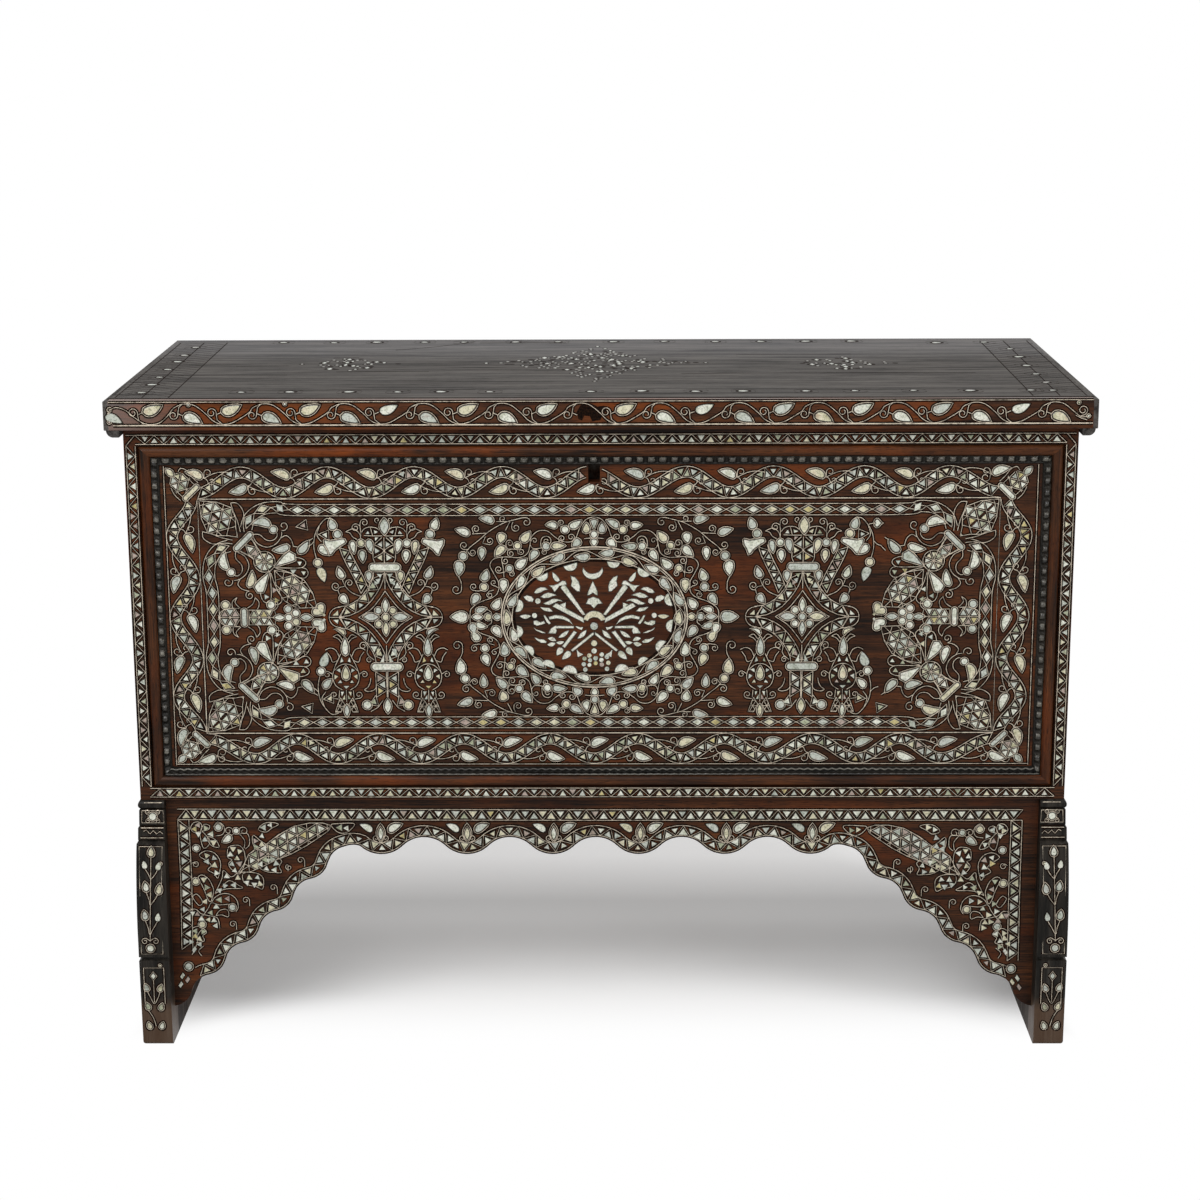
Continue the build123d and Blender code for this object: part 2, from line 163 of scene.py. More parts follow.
def wood(name, grain, dark, mid, light, rough=0.42, figure_mm=22.0, shift=0.0, blotch=0.5, shine=0.12,
         glow=None, mute=None, worn=0.0, changes=()):
    """Sawn wood: long figure, fine fibres, open pores and old handling marks, on a polish that has worn.

    A change is (axis, where it starts, where it is complete, colour added), in metres along the axis.
    """
    made = material(name)
    tree = made.node_tree
    # growth rings cut lengthwise show as bands a couple of centimetres wide and half a metre long
    bands = node(tree, "TexNoise", {
        "Vector": along_grain(tree, grain, figure_mm, 480, shift), "Scale": 1.0, "Detail": 4.0,
        "Roughness": 0.6, "Distortion": 0.7})
    # fibres: drawn 2.4 mm wide, because the real 0.2 mm would not show
    fibres = node(tree, "TexNoise", {
        "Vector": along_grain(tree, grain, 2.4, 80, shift + 3), "Scale": 1.0, "Detail": 5.0,
        "Roughness": 0.65})
    pores = node(tree, "TexNoise", {
        "Vector": along_grain(tree, grain, 0.9, 15, shift + 7), "Scale": 1.0, "Detail": 2.0})
    place = node(tree, "TexCoord").outputs["Object"]
    marks = node(tree, "TexNoise", {
        "Vector": place, "Scale": 1 / (130 * MM), "Detail": 6.0, "Roughness": 0.62,
        "Distortion": 0.5})
    mixed = node(tree, "Mix", {"Factor": 0.45, "A": bands, "B": fibres}, data_type="FLOAT")
    colour = node(tree, "ValToRGB", {"Fac": mixed}, stops=((0.4, dark), (0.51, mid), (0.64, light)))
    if glow:
        # where the polish is thick it glows orange, in patches a hand long
        thick = node(tree, "TexNoise", {
            "Vector": along_grain(tree, grain, 60, 240, shift + 19), "Scale": 1.0, "Detail": 4.0,
            "Roughness": 0.6})
        where = node(tree, "ValToRGB", {"Fac": thick}, stops=((0.5, BLACK), (0.72, WHITE)))
        colour = node(tree, "Mix", {"Factor": where, "A": colour, "B": glow}, data_type="RGBA")
    open_grain = node(tree, "ValToRGB", {"Fac": pores}, stops=((0.32, linear("403834")), (0.44, WHITE)))
    colour = node(tree, "Mix", {"Factor": 0.8, "A": colour, "B": open_grain},
                  data_type="RGBA", blend_type="MULTIPLY")
    handled = node(tree, "ValToRGB", {"Fac": marks}, stops=((0.34, linear("3f3a38")), (0.6, WHITE)))
    colour = node(tree, "Mix", {"Factor": blotch, "A": colour, "B": handled},
                  data_type="RGBA", blend_type="MULTIPLY")
    if worn:
        # wear has taken the polish off in long scuffs and left dull fibres
        scuffs = node(tree, "TexNoise", {
            "Vector": along_grain(tree, grain, 18, 240, shift + 11), "Scale": 1.0, "Detail": 7.0,
            "Roughness": 0.72})
        where = node(tree, "ValToRGB", {"Fac": scuffs},
                     stops=((0.44, BLACK), (0.62, blend_of(BLACK, WHITE, worn))))
        colour = node(tree, "Mix", {"Factor": where, "A": colour, "B": mute}, data_type="RGBA")
    for axis, start, end, other in changes:
        parts = node(tree, "SeparateXYZ", {"Vector": place})
        ragged = node(tree, "Math", {0: scuffs, 1: 0.35 * abs(end - start), 2: parts.outputs[axis]},
                      operation="MULTIPLY_ADD")
        where = node(tree, "MapRange", {"Value": ragged, "From Min": start, "From Max": end})
        colour = node(tree, "Mix", {
            "Factor": where, "A": colour, "B": other}, data_type="RGBA",
            blend_type="ADD")
    relief = node(tree, "Mix", {"Factor": 0.5, "A": fibres, "B": pores}, data_type="FLOAT")
    bump = node(tree, "Bump", {"Strength": 0.4, "Distance": 0.4 * MM, "Height": relief})
    gloss = node(tree, "MapRange", {
        "Value": marks, "From Min": 0.3, "From Max": 0.7,
        "To Min": rough - 0.08, "To Max": rough + 0.14})
    surface = node(tree, "BsdfPrincipled", {
        "Base Color": colour, "Roughness": gloss, "IOR": 1.5,
        "Specular IOR Level": shine, "Normal": bump})
    node(tree, "OutputMaterial", {"Surface": surface})


def mother_of_pearl(name, tint, shade):
    """Cut and polished shell: cloudy growth layers, a soft lustre and a faint green and rose play."""
    made = material(name)
    tree = made.node_tree
    place = node(tree, "TexCoord").outputs["Object"]
    # growth layers about 4 mm apart, and clouds about 11 mm across
    layers = node(tree, "TexNoise", {
        "Vector": place, "Scale": 1 / (4 * MM), "Detail": 3.0, "Distortion": 1.6})
    clouds = node(tree, "TexNoise", {"Vector": place, "Scale": 1 / (11 * MM), "Detail": 2.0})
    body = node(tree, "ValToRGB", {"Fac": layers}, stops=((0.32, shade), (0.54, tint)))
    play = node(tree, "ValToRGB", {"Fac": clouds}, stops=(
        (0.26, linear("b9bba6")), (0.42, linear("eceee8")), (0.58, WHITE), (0.74, linear("dccbc6"))))
    colour = node(tree, "Mix", {
        "Factor": 0.8, "A": body, "B": play},
        data_type="RGBA", blend_type="MULTIPLY")
    bump = node(tree, "Bump", {"Strength": 0.3, "Distance": 0.35 * MM, "Height": layers})
    surface = node(tree, "BsdfPrincipled", {
        "Base Color": colour, "Roughness": 0.3, "IOR": 1.56,
        "Specular IOR Level": 0.35, "Normal": bump})
    node(tree, "OutputMaterial", {"Surface": surface})


def tin_wire(name, tint):
    """Drawn tin, hammered in and scraped flush: dull grey with dark rubs where it has tarnished."""
    made = material(name)
    tree = made.node_tree
    place = node(tree, "TexCoord").outputs["Object"]
    rubs = node(tree, "TexNoise", {
        "Vector": place, "Scale": 1 / (7 * MM), "Detail": 4.0, "Roughness": 0.65})
    colour = node(tree, "ValToRGB", {"Fac": rubs},
                  stops=((0.35, blend_of(tint, linear("2c241f"), 0.7)), (0.55, tint)))
    rough = node(tree, "MapRange", {
        "Value": rubs, "From Min": 0.3, "From Max": 0.7, "To Min": 0.62, "To Max": 0.42})
    # tarnish leaves half of it dull, so it is not metallic all over
    surface = node(tree, "BsdfPrincipled", {"Base Color": colour, "Metallic": 0.5, "Roughness": rough})
    node(tree, "OutputMaterial", {"Surface": surface})


def mastic_filler(name, tint):
    """Shellac and lampblack pressed round the pieces: nearly black, with a dull uneven face."""
    made = material(name)
    tree = made.node_tree
    place = node(tree, "TexCoord").outputs["Object"]
    grit = node(tree, "TexNoise", {"Vector": place, "Scale": 1 / (2.5 * MM), "Detail": 3.0})
    colour = node(tree, "ValToRGB", {"Fac": grit},
                  stops=((0.4, tint), (0.75, blend_of(tint, linear("5a3a26"), 0.2))))
    bump = node(tree, "Bump", {"Strength": 0.4, "Distance": 0.2 * MM, "Height": grit})
    surface = node(tree, "BsdfPrincipled", {
        "Base Color": colour, "Roughness": 0.8, "IOR": 1.5,
        "Specular IOR Level": 0.04, "Normal": bump})
    node(tree, "OutputMaterial", {"Surface": surface})


def forged_iron(name, tint):
    """Hammered wrought iron: dark scale with brown rust in the hollows."""
    made = material(name)
    tree = made.node_tree
    place = node(tree, "TexCoord").outputs["Object"]
    hammer = node(tree, "TexVoronoi", {"Vector": place, "Scale": 1 / (8 * MM)}, feature="SMOOTH_F1")
    rust = node(tree, "TexNoise", {
        "Vector": place, "Scale": 1 / (12 * MM), "Detail": 6.0, "Roughness": 0.7})
    colour = node(tree, "ValToRGB", {"Fac": rust}, stops=((0.4, tint), (0.68, linear("4a2d1d"))))
    rough = node(tree, "MapRange", {
        "Value": rust, "From Min": 0.35, "From Max": 0.7, "To Min": 0.42, "To Max": 0.8})
    bump = node(tree, "Bump", {"Strength": 0.5, "Distance": 0.5 * MM, "Height": hammer})
    surface = node(tree, "BsdfPrincipled", {
        "Base Color": colour, "Metallic": 0.9, "Roughness": rough,
        "Normal": bump})
    node(tree, "OutputMaterial", {"Surface": surface})


def placed(name, data):
    """A new object in the scene."""
    made = bpy.data.objects.new(name, data)
    bpy.context.scene.collection.objects.link(made)
    return made


def dress(piece, finish):
    """Put one material on every slot of a piece."""
    if not piece.data.materials:
        piece.data.materials.append(finish)
    for slot in piece.material_slots:
        slot.material = finish


# ---------------------------------------------------------------- lines and outlines, in millimetres

def spline(points, closed=False, step=1.8):
    """A smooth line through a few points."""
    if closed:
        ring = [points[-1]] + list(points) + [points[0], points[1]]
    else:
        ring = [points[0]] + list(points) + [points[-1]]
    line = []
    for a, b, c, d in zip(ring, ring[1:], ring[2:], ring[3:]):
        parts = max(2, int(math.dist(b, c) / step))
        for k in range(parts):
            t = k / parts
            line.append(tuple(
                0.5 * (2 * q + (r - p) * t + (2 * p - 5 * q + 4 * r - s) * t * t
                       + (3 * q - p - 3 * r + s) * t ** 3)
                for p, q, r, s in zip(a, b, c, d)))
    return line if closed else line + [points[-1]]


def curl(u, v, heading, radius, hand=1, turns=1.25, shrink=0.72):
    """The spiral that ends a stem: it leaves (u, v) along heading, in degrees, and winds in to one hand."""
    way = math.radians(heading)
    centre = (u - hand * radius * math.sin(way), v + hand * radius * math.cos(way))
    count = int(16 * turns)
    line = []
    for k in range(count + 1):
        t = k / count
        angle = way - hand * math.pi / 2 + hand * math.tau * turns * t
        reach = radius * (1 - shrink * t)
        line.append((centre[0] + reach * math.cos(angle), centre[1] + reach * math.sin(angle)))
    return line


def arc(u, v, radius, start, end, squash=1.0):
    """Part of a circle or ellipse, between two angles in degrees."""
    count = max(4, int(abs(end - start) / 14))
    return [(u + radius * math.cos(math.radians(start + (end - start) * k / count)),
             v + radius * squash * math.sin(math.radians(start + (end - start) * k / count)))
            for k in range(count + 1)]


def limb(tail, tip, width, profile, bend=0.0, count=9):
    """An outline along the line from tail to tip, as wide at each place as its profile says."""
    length = math.dist(tail, tip)
    du, dv = (tip[0] - tail[0]) / length, (tip[1] - tail[1]) / length
    left, right = [], []
    for k in range(1, count):
        t = k / count
        half = width / 2 * profile(t)
        sway = bend * math.sin(math.pi * t)
        mid = (tail[0] + du * length * t - dv * sway, tail[1] + dv * length * t + du * sway)
        left.append((mid[0] - dv * half, mid[1] + du * half))
        right.append((mid[0] + dv * half, mid[1] - du * half))
    return [tail] + right + [tip] + left[::-1]


def drop(tail, tip, width, bend=0.0):
    """A leaf, round at its tail and pointed at its tip."""
    return limb(tail, tip, width, lambda t: 2.42 * math.sqrt(t) * (1 - t) ** 0.88, bend, 12)


def petal(tail, tip, width, bend=0.0):
    """A leaf pointed at both ends."""
    return limb(tail, tip, width, lambda t: math.sin(math.pi * t) ** 0.9, bend)


def bell(tail, tip, width, bend=0.0):
    """A petal narrow at its tail and widest near its square end."""
    return limb(tail, tip, width, lambda t: 0.14 + 0.86 * math.sin(min(1.0, t * 1.12) * math.pi / 2) ** 1.5,
                bend, 8)


def disc(u, v, radius, count=14):
    """A round outline."""
    return [(u + radius * math.cos(math.tau * k / count), v + radius * math.sin(math.tau * k / count))
            for k in range(count)]


def bar(tail, tip, width):
    """A straight piece with round ends."""
    way = math.degrees(math.atan2(tip[1] - tail[1], tip[0] - tail[0]))
    reach = width / 2
    dx, dy = math.cos(math.radians(way)) * reach, math.sin(math.radians(way)) * reach
    return (arc(tip[0] - dx, tip[1] - dy, reach, way - 80, way + 80)
            + arc(tail[0] + dx, tail[1] + dy, reach, way + 100, way + 260))


def rhomb(u, v, half_across, half_up):
    """A lozenge with its four corners on the two directions."""
    return [(u + half_across, v), (u, v + half_up), (u - half_across, v), (u, v - half_up)]


def heart(u, v, size, heading=0.0):
    """A heart whose point looks along heading."""
    turned = []
    for k in range(22):
        a = math.tau * k / 22
        across = math.sin(a) ** 3
        along = -(13 * math.cos(a) - 3.4 * math.cos(2 * a) - 1.6 * math.cos(3 * a) - math.cos(4 * a)) / 16
        c, s = math.cos(math.radians(heading)), math.sin(math.radians(heading))
        turned.append((u + size / 2 * (along * c - across * s), v + size / 2 * (along * s + across * c)))
    return turned


def mirrored(line, side):
    """The line as it is for a side of 1, and turned over for -1."""
    return [(side * u, v) for u, v in line]


def area(outline):
    """The area of an outline, below zero where it runs clockwise."""
    return sum(a[0] * b[1] - b[0] * a[1] for a, b in zip(outline, outline[1:] + outline[:1])) / 2


def offset(outline, distance):
    """The outline moved out (or in, below zero) by a distance, with its points kept blunt."""
    ring = outline if area(outline) > 0 else outline[::-1]
    count = len(ring)
    moved = []
    for k in range(count):
        a, b, c = ring[k - 1], ring[k], ring[(k + 1) % count]
        e = (b[1] - a[1], a[0] - b[0])
        f = (c[1] - b[1], b[0] - c[0])
        el, fl = math.hypot(*e) or 1.0, math.hypot(*f) or 1.0
        nu, nv = e[0] / el + f[0] / fl, e[1] / el + f[1] / fl
        size = math.hypot(nu, nv) or 1.0
        reach = min(1 / max(size / 2, 0.3), 2.0)
        moved.append((b[0] + nu / size * distance * reach, b[1] + nv / size * distance * reach))
    return moved


def shrunk(outline, share):
    """The outline drawn in towards its middle."""
    cu = sum(p[0] for p in outline) / len(outline)
    cv = sum(p[1] for p in outline) / len(outline)
    return [(cu + (u - cu) * share, cv + (v - cv) * share) for u, v in outline]


def lengths(line):
    """How far along a line each of its points is."""
    reach = [0.0]
    for a, b in zip(line, line[1:]):
        reach.append(reach[-1] + math.dist(a, b))
    return reach


def station(line, reach, distance):
    """The point a distance along a line, and the direction to its left."""
    k = 0
    while k < len(reach) - 2 and reach[k + 1] < distance:
        k += 1
    a, b = line[k], line[k + 1]
    span = (reach[k + 1] - reach[k]) or 1.0
    t = (distance - reach[k]) / span
    return ((a[0] + (b[0] - a[0]) * t, a[1] + (b[1] - a[1]) * t),
            (-(b[1] - a[1]) / span, (b[0] - a[0]) / span))


def beside(line, distance):
    """A line that keeps a distance to the left of another."""
    moved = []
    for k, b in enumerate(line):
        a, c = line[max(k - 1, 0)], line[min(k + 1, len(line) - 1)]
        size = math.dist(a, c) or 1.0
        moved.append((b[0] - (c[1] - a[1]) / size * distance, b[1] + (c[0] - a[0]) / size * distance))
    return moved


def within(outline, u, v):
    """Whether a place lies inside an outline."""
    inside = False
    for (a, b), (c, d) in zip(outline, outline[1:] + outline[:1]):
        if (b > v) != (d > v) and u < (c - a) * (v - b) / (d - b) + a:
            inside = not inside
    return inside


def crossings(outline, foot, way):
    """The lengths of a straight line, from foot along way, that lie inside an outline."""
    hits = []
    for (a, b), (c, d) in zip(outline, outline[1:] + outline[:1]):
        eu, ev = c - a, d - b
        det = way[0] * ev - way[1] * eu
        if abs(det) < 1e-9:
            continue
        s = ((a - foot[0]) * ev - (b - foot[1]) * eu) / det
        t = ((a - foot[0]) * way[1] - (b - foot[1]) * way[0]) / det
        if 0 <= t < 1:
            hits.append(s)
    hits.sort()
    return [(p, q) for p, q in zip(hits[::2], hits[1::2]) if q - p > 2.0]


# ---------------------------------------------------------------- the inlay itself

PEARL_TINTS = (
    # common name of the shade, colour, shade of its growth lines, how often it is cut
    ("white", "d9dace", "9b9d90", 31),
    ("silver", "bcc0b7", "80857d", 26),
    ("cream", "d0cab0", "949076", 20),
    ("green", "a9ad94", "70745f", 11),
    ("gold", "c0b27e", "827850", 5),
    ("rose", "ab9a90", "776860", 8),
)
WIRE, MASTIC, EDGE, FIRST_PEARL = 0, 1, 2, 3
FEW_POINTS = 14                  # a wire with fewer points than this is rounded between them
LARGE_PIECE = 60                 # square millimetres
NET_WIRE = 0.65                  # the nets are laid in thinner wire
BED_EDGE, BED_HIGH, PEARL_FOOT = 0.04, 0.08, 0.14           # heights above the wood


class Inlay:
    """Pearl, wire and mastic let into one face, gathered into a single piece."""

    def __init__(self, seat, seed):
        sizes = bpy.context.scene.dowry_inlay
        self.wire_width = sizes.wire_width / MM
        self.wire_rise = sizes.wire_rise / MM
        self.groove = sizes.wire_groove_and_shadow / MM
        self.margin = sizes.mastic_margin / MM
        self.pearl_rise = sizes.pearl_rise / MM
        self.bevel = sizes.pearl_bevel / MM
        self.seat = seat
        self.dice = random.Random(seed)
        self.points, self.faces, self.finishes, self.smooth = [], [], [], []
        self.holes = ()
        self.frame_of = lambda u, v: (u, v)

    def stand(self, u=0.0, v=0.0, across=(1.0, 0.0), up=(0.0, 1.0)):
        """Draw from here on about this origin, with these two directions."""
        self.frame_of = lambda p, q: (u + p * across[0] + q * up[0], v + p * across[1] + q * up[1])

    def cut_away(self, u, v):
        """Whether a place on the face is over a hole."""
        return any(a < u < b and c < v < d for a, b, c, d in self.holes)

    def put(self, flat, heights):
        """Add points at heights above the face, and say where they start."""
        first = len(self.points)
        for (u, v), h in zip(flat, heights):
            self.points.append(self.seat(u, v, h))
        return first

    def face(self, flat, first, corners, finish, smooth=False):
        """Add a face, turned so that it looks out of the wood."""
        turn = area([flat[c] for c in corners])
        ring = corners if turn > 0 else corners[::-1]
        self.faces.append([first + c for c in ring])
        self.finishes.append(finish)
        self.smooth.append(smooth)

    def wire(self, line, width=None, closed=False):
        """A wire that flows through a few points, or follows many."""
        if len(line) < FEW_POINTS:
            self.straight(spline(line, closed), width)
        else:
            self.straight(line, width, closed)

    def straight(self, line, width=None, closed=False):
        """A wire straight from point to point, broken where the wood is cut away."""
        if closed:
            line = list(line) + [line[0]]
        run = []
        for place in [self.frame_of(*p) for p in line] + [None]:
            if place and not self.cut_away(*place):
                run.append(place)
                continue
            if len(run) > 1:
                self.strip(run, (width or self.wire_width) / 2)
            run = []

    def strip(self, line, half):
        """One unbroken length of wire, highest along its middle, in a groove filled with mastic, whose wide
        dark edges are also a painted shadow beside the wire.
        """
        groove = half + self.groove
        flat = (beside(line, groove) + beside(line, half) + line
                + beside(line, -half) + beside(line, -groove))
        count = len(line)
        first = self.put(flat, [h for h in (BED_EDGE, BED_HIGH, self.wire_rise, BED_HIGH, BED_EDGE)
                                for _ in line])
        for k in range(count - 1):
            for row, finish in enumerate((MASTIC, WIRE, WIRE, MASTIC)):
                a = row * count + k
                self.face(flat, first, [a, a + 1, a + count + 1, a + count], finish, finish == WIRE)

    def runs(self, *lines):
        """Several wires, one after another."""
        for line in lines:
            self.wire(line)

    def groove_along(self, line, width, height=0.1):
        """A line that holds only dark filler, where the wire is lost or the wood has opened."""
        line = [self.frame_of(*p) for p in line]
        count = len(line)
        flat = beside(line, width / 2) + beside(line, -width / 2)
        first = self.put(flat, [height] * len(flat))
        for k in range(count - 1):
            self.face(flat, first, [k, k + 1, count + k + 1, count + k], MASTIC)

    def patch(self, outline, finish=MASTIC, height=0.1):
        """A flat patch of filler."""
        flat = [self.frame_of(*p) for p in outline]
        if any(self.cut_away(*p) for p in flat):
            return
        first = self.put(flat, [height] * len(flat))
        self.face(flat, first, list(range(len(flat))), finish)

    def shade(self, size):
        """The next pearl shade, as often as each is cut; large pieces come from the shell's pale middle."""
        rows = PEARL_TINTS[:3] if size > LARGE_PIECE else PEARL_TINTS
        pick = self.dice.random() * sum(row[3] for row in rows)
        for k, row in enumerate(rows):
            pick -= row[3]
            if pick <= 0:
                return FIRST_PEARL + k
        return FIRST_PEARL

    def pearl(self, outline, tint=None, ringed=None, margin=None):
        """A bevelled piece of pearl, lying a little out of true, in its bed of mastic.

        A wire runs close round it, unless ringed asks for a wider one (True) or none, or a margin is given.
        """
        gap = self.margin if margin is None else margin
        if ringed is None and margin is None:
            ringed = True
            gap *= 0.7
            outline = offset(outline, -min(1.0, 0.08 * math.sqrt(abs(area(outline)))))
        if gap:
            self.patch(offset(outline, gap))
        if ringed:
            self.straight(offset(outline, gap + self.wire_width * 0.4), closed=True)
        edge = [self.frame_of(*p) for p in outline]
        if any(self.cut_away(*p) for p in edge):
            return
        if area(edge) < 0:
            edge.reverse()
        top = offset(edge, -min(self.bevel, 0.08 * math.sqrt(area(edge))))
        cu = sum(p[0] for p in edge) / len(edge)
        cv = sum(p[1] for p in edge) / len(edge)
        lean_u, lean_v = self.dice.uniform(-0.02, 0.02), self.dice.uniform(-0.02, 0.02)
        rise = self.pearl_rise + self.dice.uniform(-0.08, 0.08)
        count = len(edge)
        flat = edge + top
        heights = [PEARL_FOOT] * count + [
            max(rise + (u - cu) * lean_u + (v - cv) * lean_v, 0.3) for u, v in top]
        first = self.put(flat, heights)
        finish = self.shade(area(edge)) if tint is None else FIRST_PEARL + tint
        for k in range(count):
            n = (k + 1) % count
            self.faces.append([first + k, first + n, first + count + n, first + count + k])
            self.finishes.append(EDGE)
            self.smooth.append(False)
        self.faces.append([first + count + k for k in range(count)])
        self.finishes.append(finish)
        self.smooth.append(False)

    def pearls(self, *outlines):
        """Several pieces of pearl, each with a wire close round it."""
        for outline in outlines:
            self.pearl(outline)

    def triangle(self, a, b, c, fill=0.6, bed=0.86):
        """One cell of a band or net: a small pearl triangle in mastic."""
        cell = [a, b, c]
        self.patch(shrunk(cell, bed))
        jitter = [(u + self.dice.uniform(-0.35, 0.35), v + self.dice.uniform(-0.35, 0.35))
                  for u, v in shrunk(cell, fill * self.dice.uniform(0.9, 1.1))]
        self.pearl(jitter, margin=0)

    def band(self, line, width, step, rails=(True, True), start=0, fill=0.64):
        """A ribbon with a zigzag wire and a pearl triangle in each of its cells."""
        reach = lengths(line)
        count = max(2, round(reach[-1] / step))
        half = width / 2
        tips = []
        for k in range(count + 1):
            (u, v), (nu, nv) = station(line, reach, reach[-1] * k / count)
            side = half - 0.4 if (k + start) % 2 else -half + 0.4
            tips.append((u + nu * side, v + nv * side))
        for a, b, c in zip(tips, tips[1:], tips[2:]):
            # the pearl is nearly equal sided however long its cell is
            mid = ((a[0] + c[0]) / 2, (a[1] + c[1]) / 2)
            share = min(1.0, 1.28 * math.dist(mid, b) / (math.dist(a, c) or 1.0))
            a, c = (tuple(m + (q - m) * share for m, q in zip(mid, end)) for end in (a, c))
            self.triangle(a, b, c, fill)
        self.straight(tips)
        if rails[0]:
            self.straight(beside(line, half))
        if rails[1]:
            self.straight(beside(line, -half))

    def net(self, outline, heading, pitch, edge=True, foot=None):
        """A leaf filled with three crossings of wire and a pearl triangle in each mesh."""
        if foot is None:
            foot = (sum(p[0] for p in outline) / len(outline), sum(p[1] for p in outline) / len(outline))
        spread = max(math.dist(foot, p) for p in outline)
        tall = pitch * math.sqrt(3) / 2
        ways = [(math.cos(math.radians(heading + t)), math.sin(math.radians(heading + t)))
                for t in (0, 60, 120)]
        for way in ways:
            for k in range(-int(spread / tall) - 1, int(spread / tall) + 2):
                base = (foot[0] - way[1] * tall * k, foot[1] + way[0] * tall * k)
                for near, far in crossings(outline, base, way):
                    self.straight([(base[0] + way[0] * near, base[1] + way[1] * near),
                                   (base[0] + way[0] * far, base[1] + way[1] * far)], NET_WIRE)
        a, b = ways[0], ways[1]
        reach = int(spread / pitch) + 2
        for i in range(-reach, reach + 1):
            for j in range(-reach, reach + 1):
                corner = (foot[0] + (a[0] * i + b[0] * j) * pitch, foot[1] + (a[1] * i + b[1] * j) * pitch)
                side = (corner[0] + a[0] * pitch, corner[1] + a[1] * pitch)
                over = (corner[0] + b[0] * pitch, corner[1] + b[1] * pitch)
                beyond = (side[0] + b[0] * pitch, side[1] + b[1] * pitch)
                for cell in ((corner, side, over), (side, beyond, over)):
                    small = shrunk(cell, 0.52)
                    inside = sum(within(outline, *p) for p in small)
                    if inside == 3:
                        self.triangle(*cell, fill=0.67)
        if edge:
            self.straight(outline, closed=True)

    def wheel(self, u, v, radius, spokes=8, turn=0.0):
        """A ring of pearl triangles between spokes."""
        rim = [(u + radius * math.cos(math.radians(turn) + math.tau * k / spokes),
                v + radius * math.sin(math.radians(turn) + math.tau * k / spokes)) for k in range(spokes)]
        for a, b in zip(rim, rim[1:] + rim[:1]):
            self.triangle((u, v), a, b, 0.62, 0.9)
        for a, b in zip(rim[:spokes // 2], rim[spokes // 2:]):
            self.straight([a, b])
        self.straight(disc(u, v, radius, 24), closed=True)

    def make(self, name, body):
        """The finished piece, riding on its body."""
        mesh = bpy.data.meshes.new(name)
        mesh.from_pydata([Vector(p) * MM for p in self.points], [], self.faces)
        mesh.materials.append(bpy.data.materials["drawn_tin_wire"])
        mesh.materials.append(bpy.data.materials["lampblack_mastic"])
        mesh.materials.append(bpy.data.materials["grimed_pearl_edge"])
        for row in PEARL_TINTS:
            mesh.materials.append(bpy.data.materials["polished_pearl_" + row[0]])
        mesh.polygons.foreach_set("material_index", self.finishes)
        mesh.polygons.foreach_set("use_smooth", self.smooth)
        mesh.update()
        piece = placed(name, mesh)
        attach(piece, body)
        return piece


def on_front(y):
    """A flat face that looks to the front."""
    return lambda u, v, h: (u, y - h, v)


def skin_of(name):
    """The faces of a carved piece, ready to be felt for with straight lines."""
    mesh = bpy.data.objects[name].data
    mesh.calc_loop_triangles()
    return BVHTree.FromPolygons([v.co for v in mesh.vertices], [t.vertices for t in mesh.loop_triangles])


def on_carving(name):
    """A curved face that looks to the front, felt for from there."""
    skin = skin_of(name)

    def seat(u, v, h):
        hit = skin.ray_cast(Vector((u * MM, -1.0, v * MM)), Vector((0, 1, 0)))[0]
        return (u, (hit.y / MM if hit else 0.0) - h, v)
    return seat


# ---------------------------------------------------------------- the front: bands and borders

FRAME_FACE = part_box("left_stile")[0][1] / MM
PANEL_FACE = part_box("front_board")[0][1] / MM
LID_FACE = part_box("lid_front_rim")[0][1] / MM
MIDDLE = -3.0                    # the panel's drawing was set out a little left of the board's middle
INNER_LEFT, INNER_RIGHT = -577.5, 571.5
INNER_LOW, INNER_TOP = 478.0, 827.5
MID_HEIGHT = (INNER_LOW + INNER_TOP) / 2
OUTER_EDGE, OUTER_LOW, OUTER_TOP = 624.3, 430.5, 875.6      # the wire round the whole panel
RIBBON_MIDDLE, RIBBON_SWING = 23.8, 15.0                    # of the border's ribbon, from the inner wire
LOCK_SLOT = ((-19.0, 1.0, 849.0, 880.0),)       # nothing is laid over the slot for the lock's bolt


def frame_bands(inlay):
    """The triangle bands that run round the frame."""
    stile, low, high, end = 668.0, 389.6, 915.5, 922
    inlay.band([(-661, high), (661, high)], 13.4, 13.66, start=1)
    inlay.band([(-663, low), (663, low)], 13.4, 14.1)
    for side in (-1, 1):
        inlay.band([(side * stile, 399), (side * stile, 906)], 13.2, 14.4, start=side > 0)
        for across, height in ((674.5, end), (674.5, 907)):
            inlay.straight([(side * 661.5, end), (side * across, height)])


